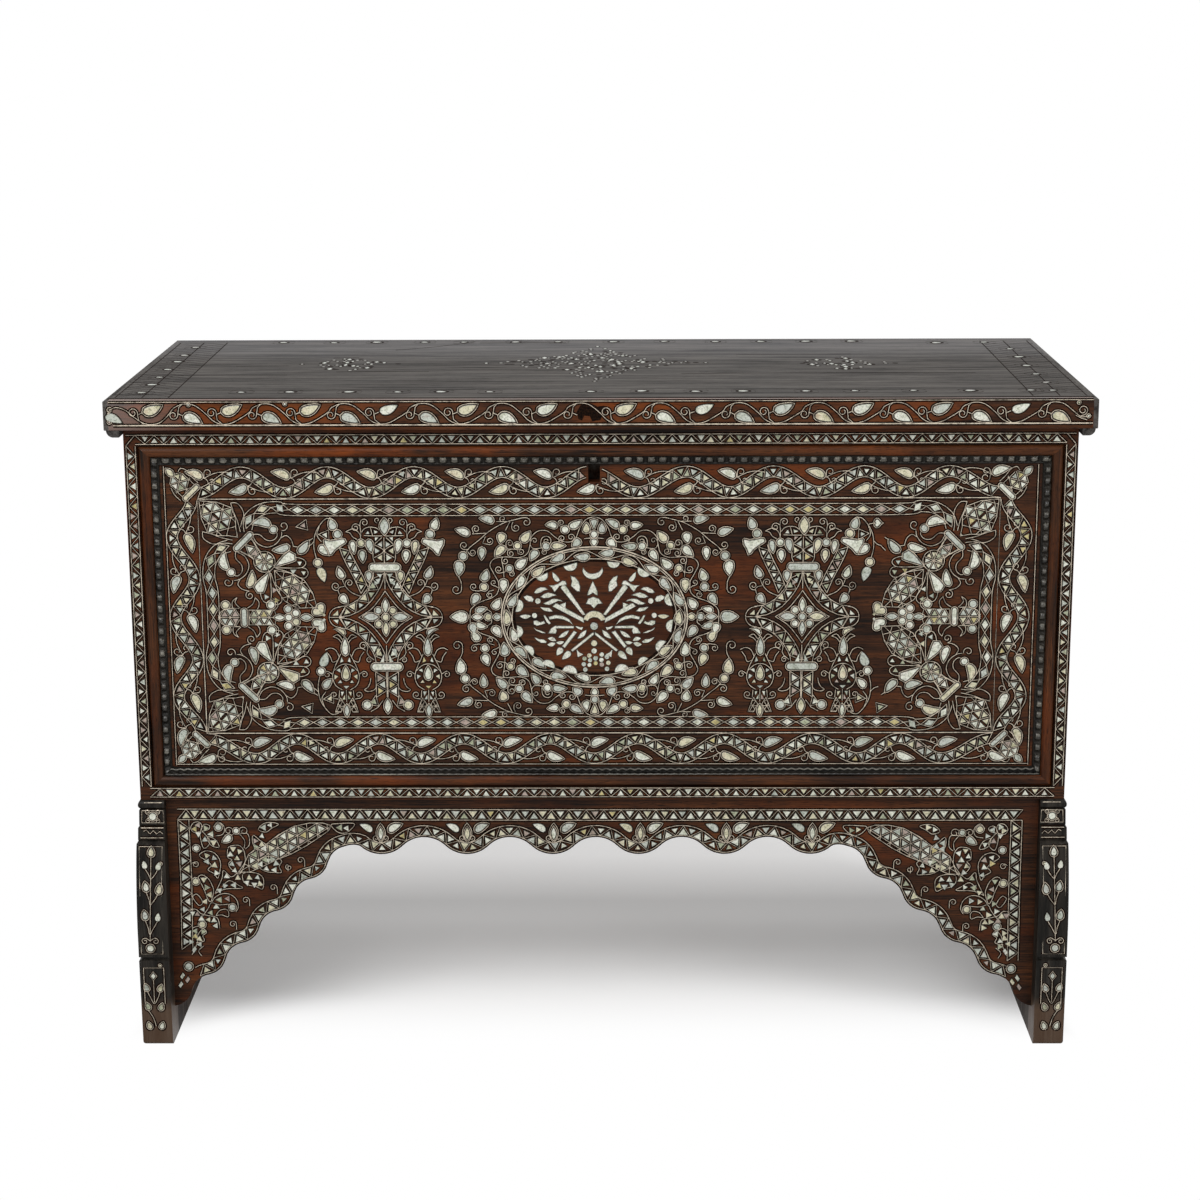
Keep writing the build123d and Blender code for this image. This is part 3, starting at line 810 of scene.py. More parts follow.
def border_leaf(inlay, u, v, s, turned=False):
    """A border leaf with its two curls and its stem; s is 1 under a crest and -1 over a hollow."""
    way = -1 if turned else 1
    jog = inlay.dice.uniform(-1.2, 1.2)
    inlay.pearl(drop((u, v), (u - way * (27 + jog), v - 9 * s), 13.4, 2.2 * s * way))
    if turned:
        inlay.runs([(u - 1, v), (u - 2.5, v + 3)] + curl(u - 2.5, v + 4, 85, 5.4, 1, 0.95, 0.5),
                   [(u - 1, v), (u - 2.5, v - 3)] + curl(u - 2.5, v - 4.5, -85, 6.4, -1, 0.95, 0.5),
                   [(u - 1, v - 0.5), (u - 15, v - 7 * s), (u - 30, v - 9 * s), (u - 42, v - 7 * s)])
        return
    # the curl towards the ribbon stands farther out than the other
    inlay.runs([(u + 1, v), (u + 4, v + 1.5 * s), (u + 6, v + 4 * s)]
               + curl(u + 6.5, v + 6 * s, 80 * s, 5.4, -s, 0.88, 0.5),
               [(u + 1, v), (u + 1.2, v - 4 * s)] + curl(u + 1.4, v - 7 * s, -95 * s, 5.4, s, 0.88, 0.5),
               [(u + 1, v - 0.5), (u + 16, v - 6.6 * s), (u + 29, v - 8.6 * s), (u + 41, v - 6.8 * s)])


def serpentine(turns):
    """The middle line of the border ribbon through its turning points: (place, 1 out or -1 in)."""
    line = []
    for (p, a), (q, b) in zip(turns, turns[1:]):
        parts = max(6, int(abs(q - p) / 3))
        for k in range(parts):
            t = k / parts
            ease = (1 - math.cos(math.pi * t)) / 2
            line.append((p + (q - p) * t, RIBBON_MIDDLE + RIBBON_SWING * (a + (b - a) * ease)))
    return line + [(turns[-1][0], RIBBON_MIDDLE + RIBBON_SWING * turns[-1][1])]


def border_side(inlay, turns, last_back=False, lead=5):
    """One side of the panel's border, drawn along u, with v counted out from the inner wire."""
    inlay.band(serpentine(turns), 15.8, 9.3, fill=0.6)
    for k, (place, side) in enumerate(turns):
        if side > 0:
            border_leaf(inlay, place + lead, 19, 1)
        elif k < len(turns) - 1:
            border_leaf(inlay, place + lead, 30.8, -1)
        elif last_back:
            border_leaf(inlay, place - 11, 34.5, -1, turned=True)


def panel_border(inlay):
    """The serpentine ribbon of triangles, with a leaf in each of its hollows."""
    for crests, lead, place, across, up in (
            ((-514, -391, -267, -140, -16, 123, 247, 377, 498), 9, (0, INNER_TOP), (1, 0), (0, 1)),
            ((-503, -381, -248, -123, 5, 133, 259, 380, 500), 5, (2 * MIDDLE, INNER_LOW), (-1, 0), (0, -1))):
        turns = [(-577, -1)]
        for here, after in zip(crests, crests[1:] + (640,)):
            turns += [(here, 1), (min((here + after) / 2, 570), -1)]
        inlay.stand(*place, across, up)
        border_side(inlay, turns, last_back=True, lead=lead)
    uprights = [(480, -1), (533, 1), (590, -1), (652, 1), (710, -1), (772, 1), (826, -1)]
    for u, out in ((INNER_LEFT, -1), (INNER_RIGHT, 1)):
        inlay.stand(u, 0, (0, 1), (out, 0))
        border_side(inlay, uprights)
    inlay.stand()
    low, high = INNER_LOW, INNER_TOP
    inlay.straight([(INNER_LEFT, low), (INNER_RIGHT, low), (INNER_RIGHT, high), (INNER_LEFT, high)],
                   width=1.3, closed=True)
    inlay.straight([(-OUTER_EDGE, OUTER_LOW), (OUTER_EDGE, OUTER_LOW)])
    # the upper wire stops on both sides of the slot
    inlay.straight([(-OUTER_EDGE, OUTER_TOP), (-17.5, OUTER_TOP)])
    inlay.straight([(-0.5, OUTER_TOP), (OUTER_EDGE, OUTER_TOP)])
    for side in (-1, 1):
        inlay.straight([(side * OUTER_EDGE, 429), (side * OUTER_EDGE, OUTER_TOP)])


def diamond_band(inlay, line, width, pitch):
    """Pearl rhombs along a line, in two crossing zigzag wires between two rails."""
    line = spline(line, step=4)
    reach = lengths(line)
    count = max(1, round(reach[-1] / pitch))
    step = reach[-1] / count
    for rail in (-width / 2, width / 2):
        inlay.straight(beside(line, rail))
    up, down = [], []
    for k in range(2 * count + 1):
        (u, v), (nu, nv) = station(line, reach, min(step * k / 2, reach[-1]))
        # the zigzags cross between rhombs
        swing = width / 2 - 1.4 if k % 2 else 0
        up.append((u + nu * swing, v + nv * swing))
        down.append((u - nu * swing, v - nv * swing))
    inlay.straight(up)
    inlay.straight(down)
    for k in range(count):
        (u, v), (nu, nv) = station(line, reach, step * (k + 0.5))
        tu, tv = nv, -nu
        long_half, tall_half = 8.6 + inlay.dice.uniform(-0.5, 0.5), 5.2
        tips = [(u + across * tu + up * nu, v + across * tv + up * nv)
                for across, up in rhomb(0, 0, long_half, tall_half)]
        inlay.pearl(tips, inlay.dice.choice((0, 0, 1, 1, 2, 2, 3, 4, 5)), margin=1.4)


CORNERS = ((INNER_LEFT, INNER_TOP, 1, -1), (INNER_RIGHT, INNER_TOP, -1, -1),
           (INNER_LEFT, INNER_LOW, 1, 1), (INNER_RIGHT, INNER_LOW, -1, 1))


def diamond_bands(inlay):
    """The four bands of rhombs, whose ends bend in to the corner knots."""
    bend, inset = [(68.5, 43), (74.5, 27), (91.5, 15), (114.5, 12), (137, 16)], 16.3
    for v, up in ((INNER_TOP, -1), (INNER_LOW, 1)):
        left = [(INNER_LEFT + a, v + up * b) for a, b in bend]
        right = [(INNER_RIGHT - a, v + up * b) for a, b in bend]
        straight = [(u, v + up * inset) for u in (-300, MIDDLE, 294)]
        diamond_band(inlay, left + straight + right[::-1], 16.6, 26.1)
    for u, across in ((INNER_LEFT, 1), (INNER_RIGHT, -1)):
        low = [(u + across * b, INNER_LOW + a) for a, b in bend]
        high = [(u + across * b, INNER_TOP - a) for a, b in bend]
        diamond_band(inlay, low + [(u + across * inset, MID_HEIGHT)] + high[::-1], 17.2, 25.2)


def corner_half(inlay, leafy):
    """Half of a corner knot: a runs along one border and b along the other, from their corner."""
    inlay.runs(
        [(47.5, 5.5), (57.5, 6.5), (65.5, 19.5), (64.5, 37.5), (65.5, 48)],
        [(47.5, 5.5), (51.5, 19.5), (56.5, 32.5), (60, 48)],
        [(77, 52), (87, 52), (97, 60), (107, 60), (113, 53), (110, 46)],
        [(78, 55), (84, 65), (97, 70.5), (110, 66), (118, 56), (119.5, 48)],
        curl(119.5, 46, 20, 7.2, -1, 1.0), [(118, 57), (125.5, 53.5), (132.5, 59.5), (135.5, 69.5)],
        [(76, 57), (84, 72), (89, 78)])
    inlay.pearl(disc(107.5, 44.5, 5.8))
    inlay.pearl(drop((105, 38.5), (75.5, 36.5), 14, 4.5))
    inlay.pearl(drop((130.5, 69), (104.5, 75), 12.4, -2))
    if leafy:
        inlay.wire([(135.5, 69.5), (142.5, 70.5)])
        inlay.pearl(drop((143, 79), (157.5, 62), 10.5, 1), ringed=True)
        inlay.wire([(158, 61.5), (164, 57.5)])
    else:
        inlay.wire([(135.5, 69.5), (137, 66)] + curl(139, 65, -30, 6, 1, 1.1))
    inlay.pearl(bell((106.5, 100.5), (138, 81), 17, -1))
    # two scallops beside the bell, and the spokes that carry them
    inlay.runs(
        [(137.5, 85.5), (145.5, 87), (151.5, 90.5), (152.5, 95.5), (147, 100.5), (137.5, 101.5)],
        [(145.5, 100.5), (152.5, 102.5), (155.5, 107.5), (154.5, 112.5), (149.5, 116.5), (142.5, 115.5)],
        [(109, 101), (137.5, 101.5)], [(109, 102), (126, 107), (142.5, 115.5)])
    for a, b in ((144, 94), (149, 108.5), (134, 106)):
        inlay.triangle((a - 7, b - 4), (a + 7, b - 4), (a, b + 7.5), 0.62)


def corner_knot(inlay):
    """The middle of a corner knot, drawn on the diagonal, and the rosette outside the border."""
    teardrop = [
        (2, 2), (16, 3.5), (28, 4.5), (47.5, 12), (53.5, 27), (53.5, 42.5), (56, 56), (42.5, 53.5),
        (27, 53.5), (12, 47.5), (4.5, 28), (3.5, 16)]
    inlay.net(teardrop, 45, 16.4, foot=(8, 8))
    inlay.pearl(bar((50.5, 75.5), (77, 49), 9.2))
    inlay.net([(75, 58), (58, 75), (83, 90), (90, 83)], -45, 16, foot=(66.5, 66.5))
    inlay.wheel(93, 92, 15.5, turn=22)
    inlay.net(
        [(107, 105), (133, 109), (150, 120), (161, 138), (167, 160), (138, 161), (120, 150), (109, 133)], 45,
        16.2, foot=(107, 105))
    # outside the border: a capsule across the corner, a fan of triangles and a leaf
    inlay.pearl(bar((-20, 1.5), (2.5, -20.5), 8.6))
    inlay.net(
        [(-3, -22), (-22, -3), (-34, -12), (-41, -27), (-36, -37), (-27, -41), (-12, -34)], 45, 14.5,
        edge=False)
    inlay.runs([(2, -24), (-6, -32), (-14, -42), (-22, -45), (-26, -40)], [(-24, 2), (-32, -6), (-37, -16)])
    inlay.pearl(petal((-31.5, -32.5), (-44, -45), 10))


def corner_knots(inlay):
    """The four corner knots, whose two halves differ by a leaf."""
    for u, v, across, up in CORNERS:
        inlay.stand(u, v, (across, 0), (0, up))
        corner_knot(inlay)
        corner_half(inlay, True)
        inlay.stand(u, v, (0, up), (across, 0))
        corner_half(inlay, False)
    inlay.stand()


def side_motif(inlay):
    """The cross of net, horns and flower in the middle of a short side; v is counted from its axis."""
    inlay.net(
        [(25, -13), (51, -13), (54, -6), (54, 6), (51, 13), (25, 13), (23, 6), (23, -6)], 0, 15.4, edge=False,
        foot=(25, 0))
    inlay.pearl(bar((61, -14), (61, 14), 9.6))
    inlay.net([(68, -11), (105, -11), (108, 0), (105, 11), (68, 11)], 0, 14.6, foot=(68, 0))
    inlay.runs([(24, 0), (28, 9), (40, 13.5), (54, 13.5)], [(24, 0), (28, -9), (40, -13.5), (54, -13.5)])
    for s in (1, -1):
        inlay.pearls(disc(34.5, 18.5 * s, 6.4), disc(100.5, 19 * s, 6.4))
        inlay.runs(
            [(49, 8 * s), (44, 17 * s), (45.5, 25 * s), (51.5, 29.5 * s)],
            [(51.5, 29.5 * s), (48.5, 22 * s), (55.5, 14 * s)], [(66, 14 * s), (74, 20 * s), (78, 29.5 * s)],
            [(78, 29.5 * s), (83, 23 * s), (82, 15 * s), (77, 9 * s)],
            [(105, 11 * s), (110, 16 * s), (109, 24 * s), (103, 28 * s)])
        inlay.pearls(disc(125, 12.5 * s, 5.7), disc(136, 6.5 * s, 5.7))
        inlay.pearl(heart(170, 10.6 * s, 23, -46 * s), 1 + s)
    inlay.pearl(disc(125.5, 0, 5.7))
    inlay.pearls(petal((103, 0), (121.5, 0), 9.5), petal((141, 0), (161, 0), 11))


def side_motifs(inlay):
    """The same cross at both ends of the panel."""
    for u, across in ((INNER_LEFT, 1), (INNER_RIGHT, -1)):
        inlay.stand(u, MID_HEIGHT, (across, 0), (0, 1))
        side_motif(inlay)
    inlay.stand()


# ---------------------------------------------------------------- the lid's front

def lid_vine(inlay):
    """The running vine along the lid's front edge, with a ringed leaf in each of its hollows."""
    # the wood is charred round the staple's hole, and most on its left
    inlay.patch(
        [(-30, 948), (-33, 958), (-27, 968), (-14, 971), (-4, 966), (6, 967), (10, 960), (3, 953), (1, 947),
         (-11, 945), (-14, 952), (-22, 953), (-25, 946)],
        height=0.05)
    inlay.straight([(-692, 973.4), (692, 974)])
    inlay.straight([(-686, 940.2), (692, 940.8)], width=1.7)
    pitch, first = 111.0, -585.0
    crests = [first + pitch * k for k in range(12)]
    line = [
        (-694, 955), (-690, 962), (-681, 966), (-668, 962), (-656, 952), (-644, 944), (-632, 941.6),
        (-619, 945), (-608, 955)]
    for here in crests:
        line += [(here - 14, 965.5), (here, 970.8), (here + 15, 968.5), (here + 30, 957)]
        if here < 600:
            line += [(here + 40, 947), (here + 52, 941.8), (here + 66, 943.6), (here + 80, 951),
                     (here + 92, 959)]
        else:
            line += [(here + 40, 950), (here + 52, 951)]
    inlay.straight(spline(line))
    for k, here in enumerate([first - pitch] + crests):
        # the lower leaf hangs under the crest, from a stem that curls back
        if k:
            inlay.runs([(here - 3, 970.4), (here - 7.5, 966), (here - 9, 958)]
                       + curl(here - 9.4, 954.5, -93, 6.4, -1, 1.1, 0.6), [(here - 9, 957), (here - 2, 954)])
        if k != 6:
            inlay.pearl(drop((here - 1, 953.5), (here + 23, 944), 13, 1.5), ringed=k > 0)
        if here > 590:
            continue
        # the upper leaf stands over the hollow, and its stem curls forward
        inlay.pearl(drop((here + 53, 959), (here + 79, 968.5), 13.5, -1.5), ringed=k % 4 != 3)
        inlay.runs([(here + 53, 942), (here + 46, 948), (here + 45, 956)]
                   + curl(here + 45, 958.5, 93, 6.8, 1, 1.15, 0.6), [(here + 45.5, 956), (here + 52, 958.5)])
    inlay.runs(
        curl(-688, 966, 150, 4.5, 1, 1.2), disc(-691, 954.5, 3, 10) + [(-688, 954.5)],
        [(675, 951), (681, 953), (684, 957)] + curl(684.4, 958, 80, 6.6, 1, 1.15, 0.6),
        [(668, 952), (676, 948), (684, 945.5)])
    inlay.pearls(disc(-691.5, 945, 2.1, 8), disc(686, 951, 2.0, 8), disc(672, 970, 1.8, 8),
                 disc(-443, 970.5, 1.8, 8), disc(-579, 969.6, 1.8, 8))


def piece_of(name, body, seat, seed, *drawings, across=1, holes=()):
    """One inlaid piece, drawn by several functions in order; across is -1 to mirror it."""
    inlay = Inlay(seat, seed)
    inlay.holes = holes
    for drawing in drawings:
        inlay.stand(across=(across, 0.0))
        drawing(inlay)
    return inlay.make(name, body)


# ---------------------------------------------------------------- the vases and their sprays

def star_quarter(inlay):
    """A quarter of the vase's four-sided star: a triangle ribbon that bows in to the middle."""
    inlay.band(
        [(-68, 8), (-54, 10), (-43, 15), (-34, 21), (-26, 29.5), (-19, 39), (-13, 49), (-9.5, 58),
         (-8.3, 66)],
        15, 11.4, fill=0.6)
    inlay.wire([(-39, 0), (-21, 12), (-8, 27.5), (0, 39)])


def vase_star(inlay, u, v):
    """The star of the vase, its round ends and its flower."""
    for across in (1, -1):
        for up in (1, -1):
            inlay.stand(u, v, (across, 0), (0, up))
            star_quarter(inlay)
        inlay.stand(u, v, (across, 0))
        inlay.straight(arc(-67, 0, 15, 84, 276))
        inlay.runs([(-82, 0), (-60, 0)], [(-58, 14.5), (-65, 0), (-58, -14.5)])
        inlay.triangle((-80, 1.5), (-66, 1.5), (-68, 13.5), 0.62)
        inlay.triangle((-80, -1.5), (-66, -1.5), (-68, -13.5), 0.62)
        inlay.pearl(petal((-34, 0.5), (-8, 0.5), 13))
        inlay.pearls(disc(-10.5, 10, 5.4), disc(-10.5, -10, 5.4))
    inlay.stand(u, v)
    inlay.pearl(disc(0, 0, 5.6))
    inlay.pearls(petal((0, 5), (0, 29), 10.5), petal((0, -5), (0, -29), 10.5))


def vase_half(inlay):
    """What stands beside the vase's axis, drawn for its left; a is across and b up from its middle."""
    # the trunk above the star, its arches and the bunches of three petals
    inlay.runs(
        [(-13, 80), (-16, 87), (-16, 96)], [(-14.5, 88.5), (-0.5, 98.5), (-13.5, 107.5)],
        [(-28.5, 121), (-13.5, 120.5), (-2, 120.5)], [(-19, 132.5), (-16, 121)], [(-13, 109), (-3, 118)],
        [(-31.6, 126), (-28.5, 130.4), (-23.5, 132.9), (-18.5, 133.5), (-11, 132.3), (-6.6, 129)])
    for cell in (
            ((-15, 88), (-1, 97), (-1, 80.5)), ((-15.5, 90.5), (-2, 98.5), (-15.5, 107)),
            ((-1, 100), (-13, 108), (-1, 116.5)), ((-15, 120), (-4.5, 120), (-14, 110)),
            ((-29.5, 122), (-18, 122), (-22.5, 131)), ((-16.5, 131.5), (-14, 121.5), (-5, 126)),
            ((-14, 66), (-2, 66), (-6, 55)), ((-16.5, 57.5), (-5, 51), (-16.5, 45))):
        inlay.triangle(*cell, fill=0.62)
    inlay.pearls(disc(-33, 110, 5.8), drop((-46, 114), (-43, 93.5), 10), drop((-22.5, 116), (-18, 94.5), 12))
    inlay.pearl(drop((-32, 99), (-31, 82.5), 9), ringed=True)
    inlay.runs(
        [(-34, 135.5), (-33, 126), (-33.5, 118)], [(-34, 135.5)] + curl(-37, 137.5, 145, 6, 1),
        [(-34, 135.5)] + curl(-33.5, 140, 90, 6, -1), curl(-9, 139.5, 180, 4.2, -1, 1.0),
        [(-54.7, 126.6), (-44.7, 131), (-38.5, 128), (-34, 122), (-33.5, 117)],
        [(-54.7, 126.6), (-48.5, 124.7), (-44.7, 119), (-38.5, 115.4)])
    # the slanting arm and the axe on its end
    inlay.band(
        [(-58, 105), (-54, 93), (-49, 82), (-43.5, 71), (-37.5, 59), (-33, 48), (-29, 38)], 13, 9.6,
        fill=0.58)
    inlay.pearl(
        [(-54, 112), (-56, 116.5), (-60, 117), (-67, 115.5), (-77, 114), (-85, 116), (-87, 114), (-86, 107),
         (-82, 100), (-79, 91.5), (-75, 93), (-70, 99.5), (-63.5, 104.5), (-55.5, 109.5)], tint=0)
    inlay.pearls(disc(-66.5, 123, 6.6), drop((-71, 129), (-77, 147), 13.5))
    # leaves and curls between the arm and the star
    inlay.pearl(drop((-60, 58.5), (-66.5, 74), 9.5, 1), ringed=True)
    inlay.runs(
        [(-61.5, 56), (-57, 46), (-48.5, 37), (-35, 31)], [(-57.5, 47)] + curl(-57, 51, 90, 5.6, -1),
        [(-58.5, 46), (-64.7, 44.7), (-68, 41), (-66, 34)], [(-67.5, 40)] + curl(-71, 40, 180, 6.4, -1),
        [(-23, 53), (-22, 46), (-26, 37), (-34, 31)])
    inlay.pearls(drop((-64, 34), (-54, 20), 12.5, -1), drop((-22.9, 69), (-22.9, 52), 10.5))
    # below the star: the foot of the vase
    for cell in (((-2, -49), (-13, -70), (-2, -70)), ((-5, -44), (-16, -66), (-16, -44))):
        inlay.triangle(*cell, fill=0.6)
    inlay.runs(
        [(-18.5, -64), (-26, -57.7), (-28.5, -52.7), (-27, -45)] + curl(-31, -37.7, 150, 5.8, 1, 1.15),
        [(-21, -62)] + curl(-24.5, -59.5, 170, 4.5, 1, 1.15))
    inlay.band([(-9, -82), (-8.5, -104), (-8.5, -120)], 15.5, 9.6, fill=0.62)
    inlay.band([(-12, -121), (-19, -131), (-28, -136)], 13, 9.5, fill=0.6)
    inlay.pearl(disc(-30, -132, 7.2))
    inlay.wire(
        [(-24, -91.5), (-25, -98), (-28.5, -105), (-33.5, -109), (-28.5, -111.5), (-20, -109.6), (-16, -105)])


def bottle(inlay):
    """The bottle beside the vase; a is across and b up from the middle of its belly."""
    inlay.wire([(-7, 34), (-11, 25), (-16, 14), (-19.5, 0), (-15.5, -13), (-6, -20)])
    inlay.wire([(7, 34), (11, 25), (16, 14), (19.5, 0), (15.5, -13), (6, -20)])
    inlay.wire([(-17, 9), (-9, 16.5), (0, 19), (9, 16.5), (17, 9)])
    inlay.pearl(drop((0, -6), (0, 17), 12.5))
    inlay.pearl(drop((0, 31), (0, 60), 12))
    for s in (1, -1):
        for cell in (
                ((-10 * s, 19), (-1 * s, 22), (-6 * s, 33)), ((-17 * s, 10), (-7 * s, 15), (-6 * s, 3)),
                ((-18 * s, 6), (-8 * s, 1), (-18 * s, -7)), ((-8 * s, -2), (-15 * s, -11), (-3 * s, -11))):
            inlay.triangle(*cell, fill=0.58)
        inlay.triangle((-9.5 * s, -21), (-1 * s, -21), (-7 * s, -33), 0.62)
        inlay.triangle((-1 * s, -24), (-8 * s, -36), (-1 * s, -36), 0.6)
        inlay.net([(-9 * s, -32), (-13 * s, -42), (-17 * s, -54), (-9 * s, -54), (-3 * s, -42)], 60, 9.5)
        inlay.runs(
            [(-10 * s, -21), (-11 * s, -32)], [(-9 * s, 30), (-14 * s, 40), (-22 * s, 43), (-29 * s, 40)],
            [(-12 * s, 24), (-19 * s, 22), (-22 * s, 30), (-27 * s, 37)],
            [(-4 * s, 56), (-10 * s, 63), (-17 * s, 60)], [(-17 * s, 60), (-10 * s, 57), (-5 * s, 51)],
            [(-20 * s, 4), (-26 * s, 8)] + mirrored(curl(26, 8, 10, 5, -1, 1.1), -s),
            [(-12 * s, -34), (-18 * s, -33)] + mirrored(curl(19, -33, 10, 5.6, 1, 1.15), -s))
    inlay.triangle((-7, -13), (7, -13), (0, -20), 0.7)
    inlay.pearl(petal((0, -41), (0, -62), 9))
    inlay.wire([(0, -20), (0, -38)])
    inlay.pearl([(-1.5, 61), (1, 65), (-0.5, 70), (-6, 72.5), (-15, 71), (-9, 68.5), (-5, 65)])


def hanging_spray(inlay, hearts=False):
    """The spray that hangs between a corner knot and its vase; a is across and b up from the axe's disc."""
    inlay.runs(
        [(-4, 20), (-14, 22), (-24, 12), (-31, -2), (-33, -20), (-30, -36)],
        [(-24, 12), (-28, -2), (-22, -12)], [(-33, -12), (-38, -17), (-44, -19)])
    inlay.pearl(disc(-28, -43, 6.2))
    inlay.pearl(drop((-27, -50), (-19, -72), 13.5, 1), ringed=False)
    inlay.pearl(drop((-25, -17), (-12, -32), 12, -1))
    if hearts:
        inlay.pearl(heart(-38, 14, 11, 180), ringed=True)
        inlay.runs([(-24, 12), (-32, 14)], [(-44, -20), (-50, -26)])
    else:
        inlay.triangle((-58, 10), (-43, 21), (-41, 5), 0.5)
        inlay.straight([(-58, 10), (-43, 21), (-41, 5)], closed=True)
    inlay.triangle((-24, -1), (-12, 4), (-12, -9), 0.62)
    inlay.straight([(-26, -1), (-11, 5.5), (-11, -10.5)], closed=True)


def vases(inlay):
    """The two vases with their bottles and sprays."""
    v = MID_HEIGHT
    for u in (-311.5, 291.0):
        vase_star(inlay, u, v)
        for across in (1, -1):
            inlay.stand(u, v, (across, 0))
            vase_half(inlay)
            inlay.stand(u - across * 60, v - 89, (across, 0))
            bottle(inlay)
        inlay.stand(u, v)
        inlay.pearl(petal((1, 121), (1, 148), 15))
        inlay.pearls(bar((-23, 74), (23.5, 74), 12.5), bar((-23, -74.3), (23.5, -74.3), 12.5))
        inlay.pearl(petal((0, -121), (0, -146), 12))
        inlay.runs([(0, 80), (0, 118)], [(0, -82), (0, -120)], [(0, 42), (0, 68)], [(0, -42), (0, -68)])
        outward = -1 if u < 0 else 1
        for up in (1, -1):
            inlay.stand(u + outward * 68, v + up * 124, (-outward, 0), (0, up))
            hanging_spray(inlay, hearts=outward > 0 and up > 0)
    inlay.stand()


# ---------------------------------------------------------------- the medallion

MEDAL_U, MEDAL_V = -9.5, 652.0


def half_disc(u, v, radius, facing):
    """Half a disc that bulges along facing, in degrees."""
    return arc(u, v, radius, facing - 90, facing + 90)


def crescent(u, v, radius, facing, thick):
    """A moon whose horns look along facing."""
    out = arc(u, v, radius, facing + 100, facing + 260)
    way = math.radians(facing)
    inner = arc(u + math.cos(way) * thick, v + math.sin(way) * thick, radius * 0.93,
                facing + 252, facing + 108)
    return out + inner


# One side of the trophy, as outlines: a is counted from the oval's middle and b up from it.
TROPHY = (
    # the steep staff, its axe head, and the leaf and moon beside it
    ((-12, 4), (-17, 3), (-49, 44), (-46, 49), (-41, 48)),
    ((-39, 49), (-41.5, 54.5), (-46, 55), (-52.5, 50), (-58.5, 48), (-66, 48), (-61.5, 44.5), (-57.5, 37.5),
     (-53.5, 41.5), (-50, 46.5), (-44, 48)),
    ((-60.5, 68), (-55.5, 64.5), (-50.5, 58.5), (-49, 54.5), (-53, 52.5), (-57, 54.5), (-60, 60)),
    ((-34.5, 62.5), (-27.5, 60), (-22, 53.5), (-20, 46), (-20.5, 38.5), (-25, 38.5), (-34, 47), (-32.5, 54)),
    # the broad staff, with the small triangle on it
    ((-14.5, -8.5), (-17.5, -7), (-61, 16.5), (-56, 21.5), (-53, 21), (-15.5, -0.5)),
    ((-50, 19.5), (-41, 22.5), (-41.5, 12)),
    # the plume of four leaves, and the leaf and berry before it
    ((-87.5, 37), (-83.5, 42.5), (-77, 45.5), (-70.5, 45), (-66.5, 41.5), (-72, 40), (-78.5, 36.5),
     (-84, 35.5)),
    ((-78.5, 30.5), (-73, 35), (-66, 37.5), (-60, 36), (-53.5, 33), (-60, 31.5), (-65.5, 29), (-72.5, 28.5)),
    ((-74.5, 21), (-67, 24.5), (-61, 28), (-54, 28), (-48.5, 26.5), (-44.5, 23.5), (-52, 24.5), (-58, 21.5),
     (-64, 18.5), (-70, 18.8)),
    ((-79, 16), (-72, 15), (-65, 14.5), (-59.5, 9), (-66, 8.5), (-73, 10)),
    ((-102.5, 31), (-97, 33.5), (-90, 31.5), (-87, 27), (-89, 23), (-95, 23.5), (-100, 27)),
    # the sabre: blade, guard and grip
    ((-30.5, -11.5), (-36.5, -2), (-45.5, 3), (-56, 4), (-66.5, 1), (-65, -3.5), (-54, -1.5), (-44, -3.5),
     (-36, -7.5)),
    ((-74, 3.5), (-71, 3.5), (-62.5, -9), (-66, -10.5), (-70, -6)),
    ((-88.5, -5), (-83, -4), (-78, -7), (-73, -5), (-70.5, -8.5), (-76, -11), (-83.5, -12.5), (-88, -10)),
    # the hatchet, its wrist piece, and the two leaves behind
    ((-29, -12.5), (-57, -12), (-63, -16), (-67.5, -24), (-56, -24.5), (-54, -20), (-55, -16.5),
     (-29.5, -16.5)),
    ((-28, -13.5), (-23.5, -17), (-18, -19), (-16, -14), (-20, -14.5), (-26, -12.5)),
    ((-88.5, -14), (-83.5, -18), (-77.5, -19.5), (-69.5, -23.5), (-77, -23), (-84.5, -19.5)),
    ((-87.5, -29), (-80, -32), (-73.5, -32.5), (-68.5, -36), (-70.5, -38.5), (-78, -38), (-84, -34)),
    # the two arrows below, and the bell between them
    ((-30, -19.5), (-24.5, -22), (-43, -46), (-47.5, -43)),
    ((-0.5, -21), (-0.5, -26), (-31.5, -51.5), (-35, -48.5), (-5, -24)),
    ((-26, -47), (-22, -52), (-15.5, -55), (-21, -58), (-24.5, -60), (-25.5, -54)),
)


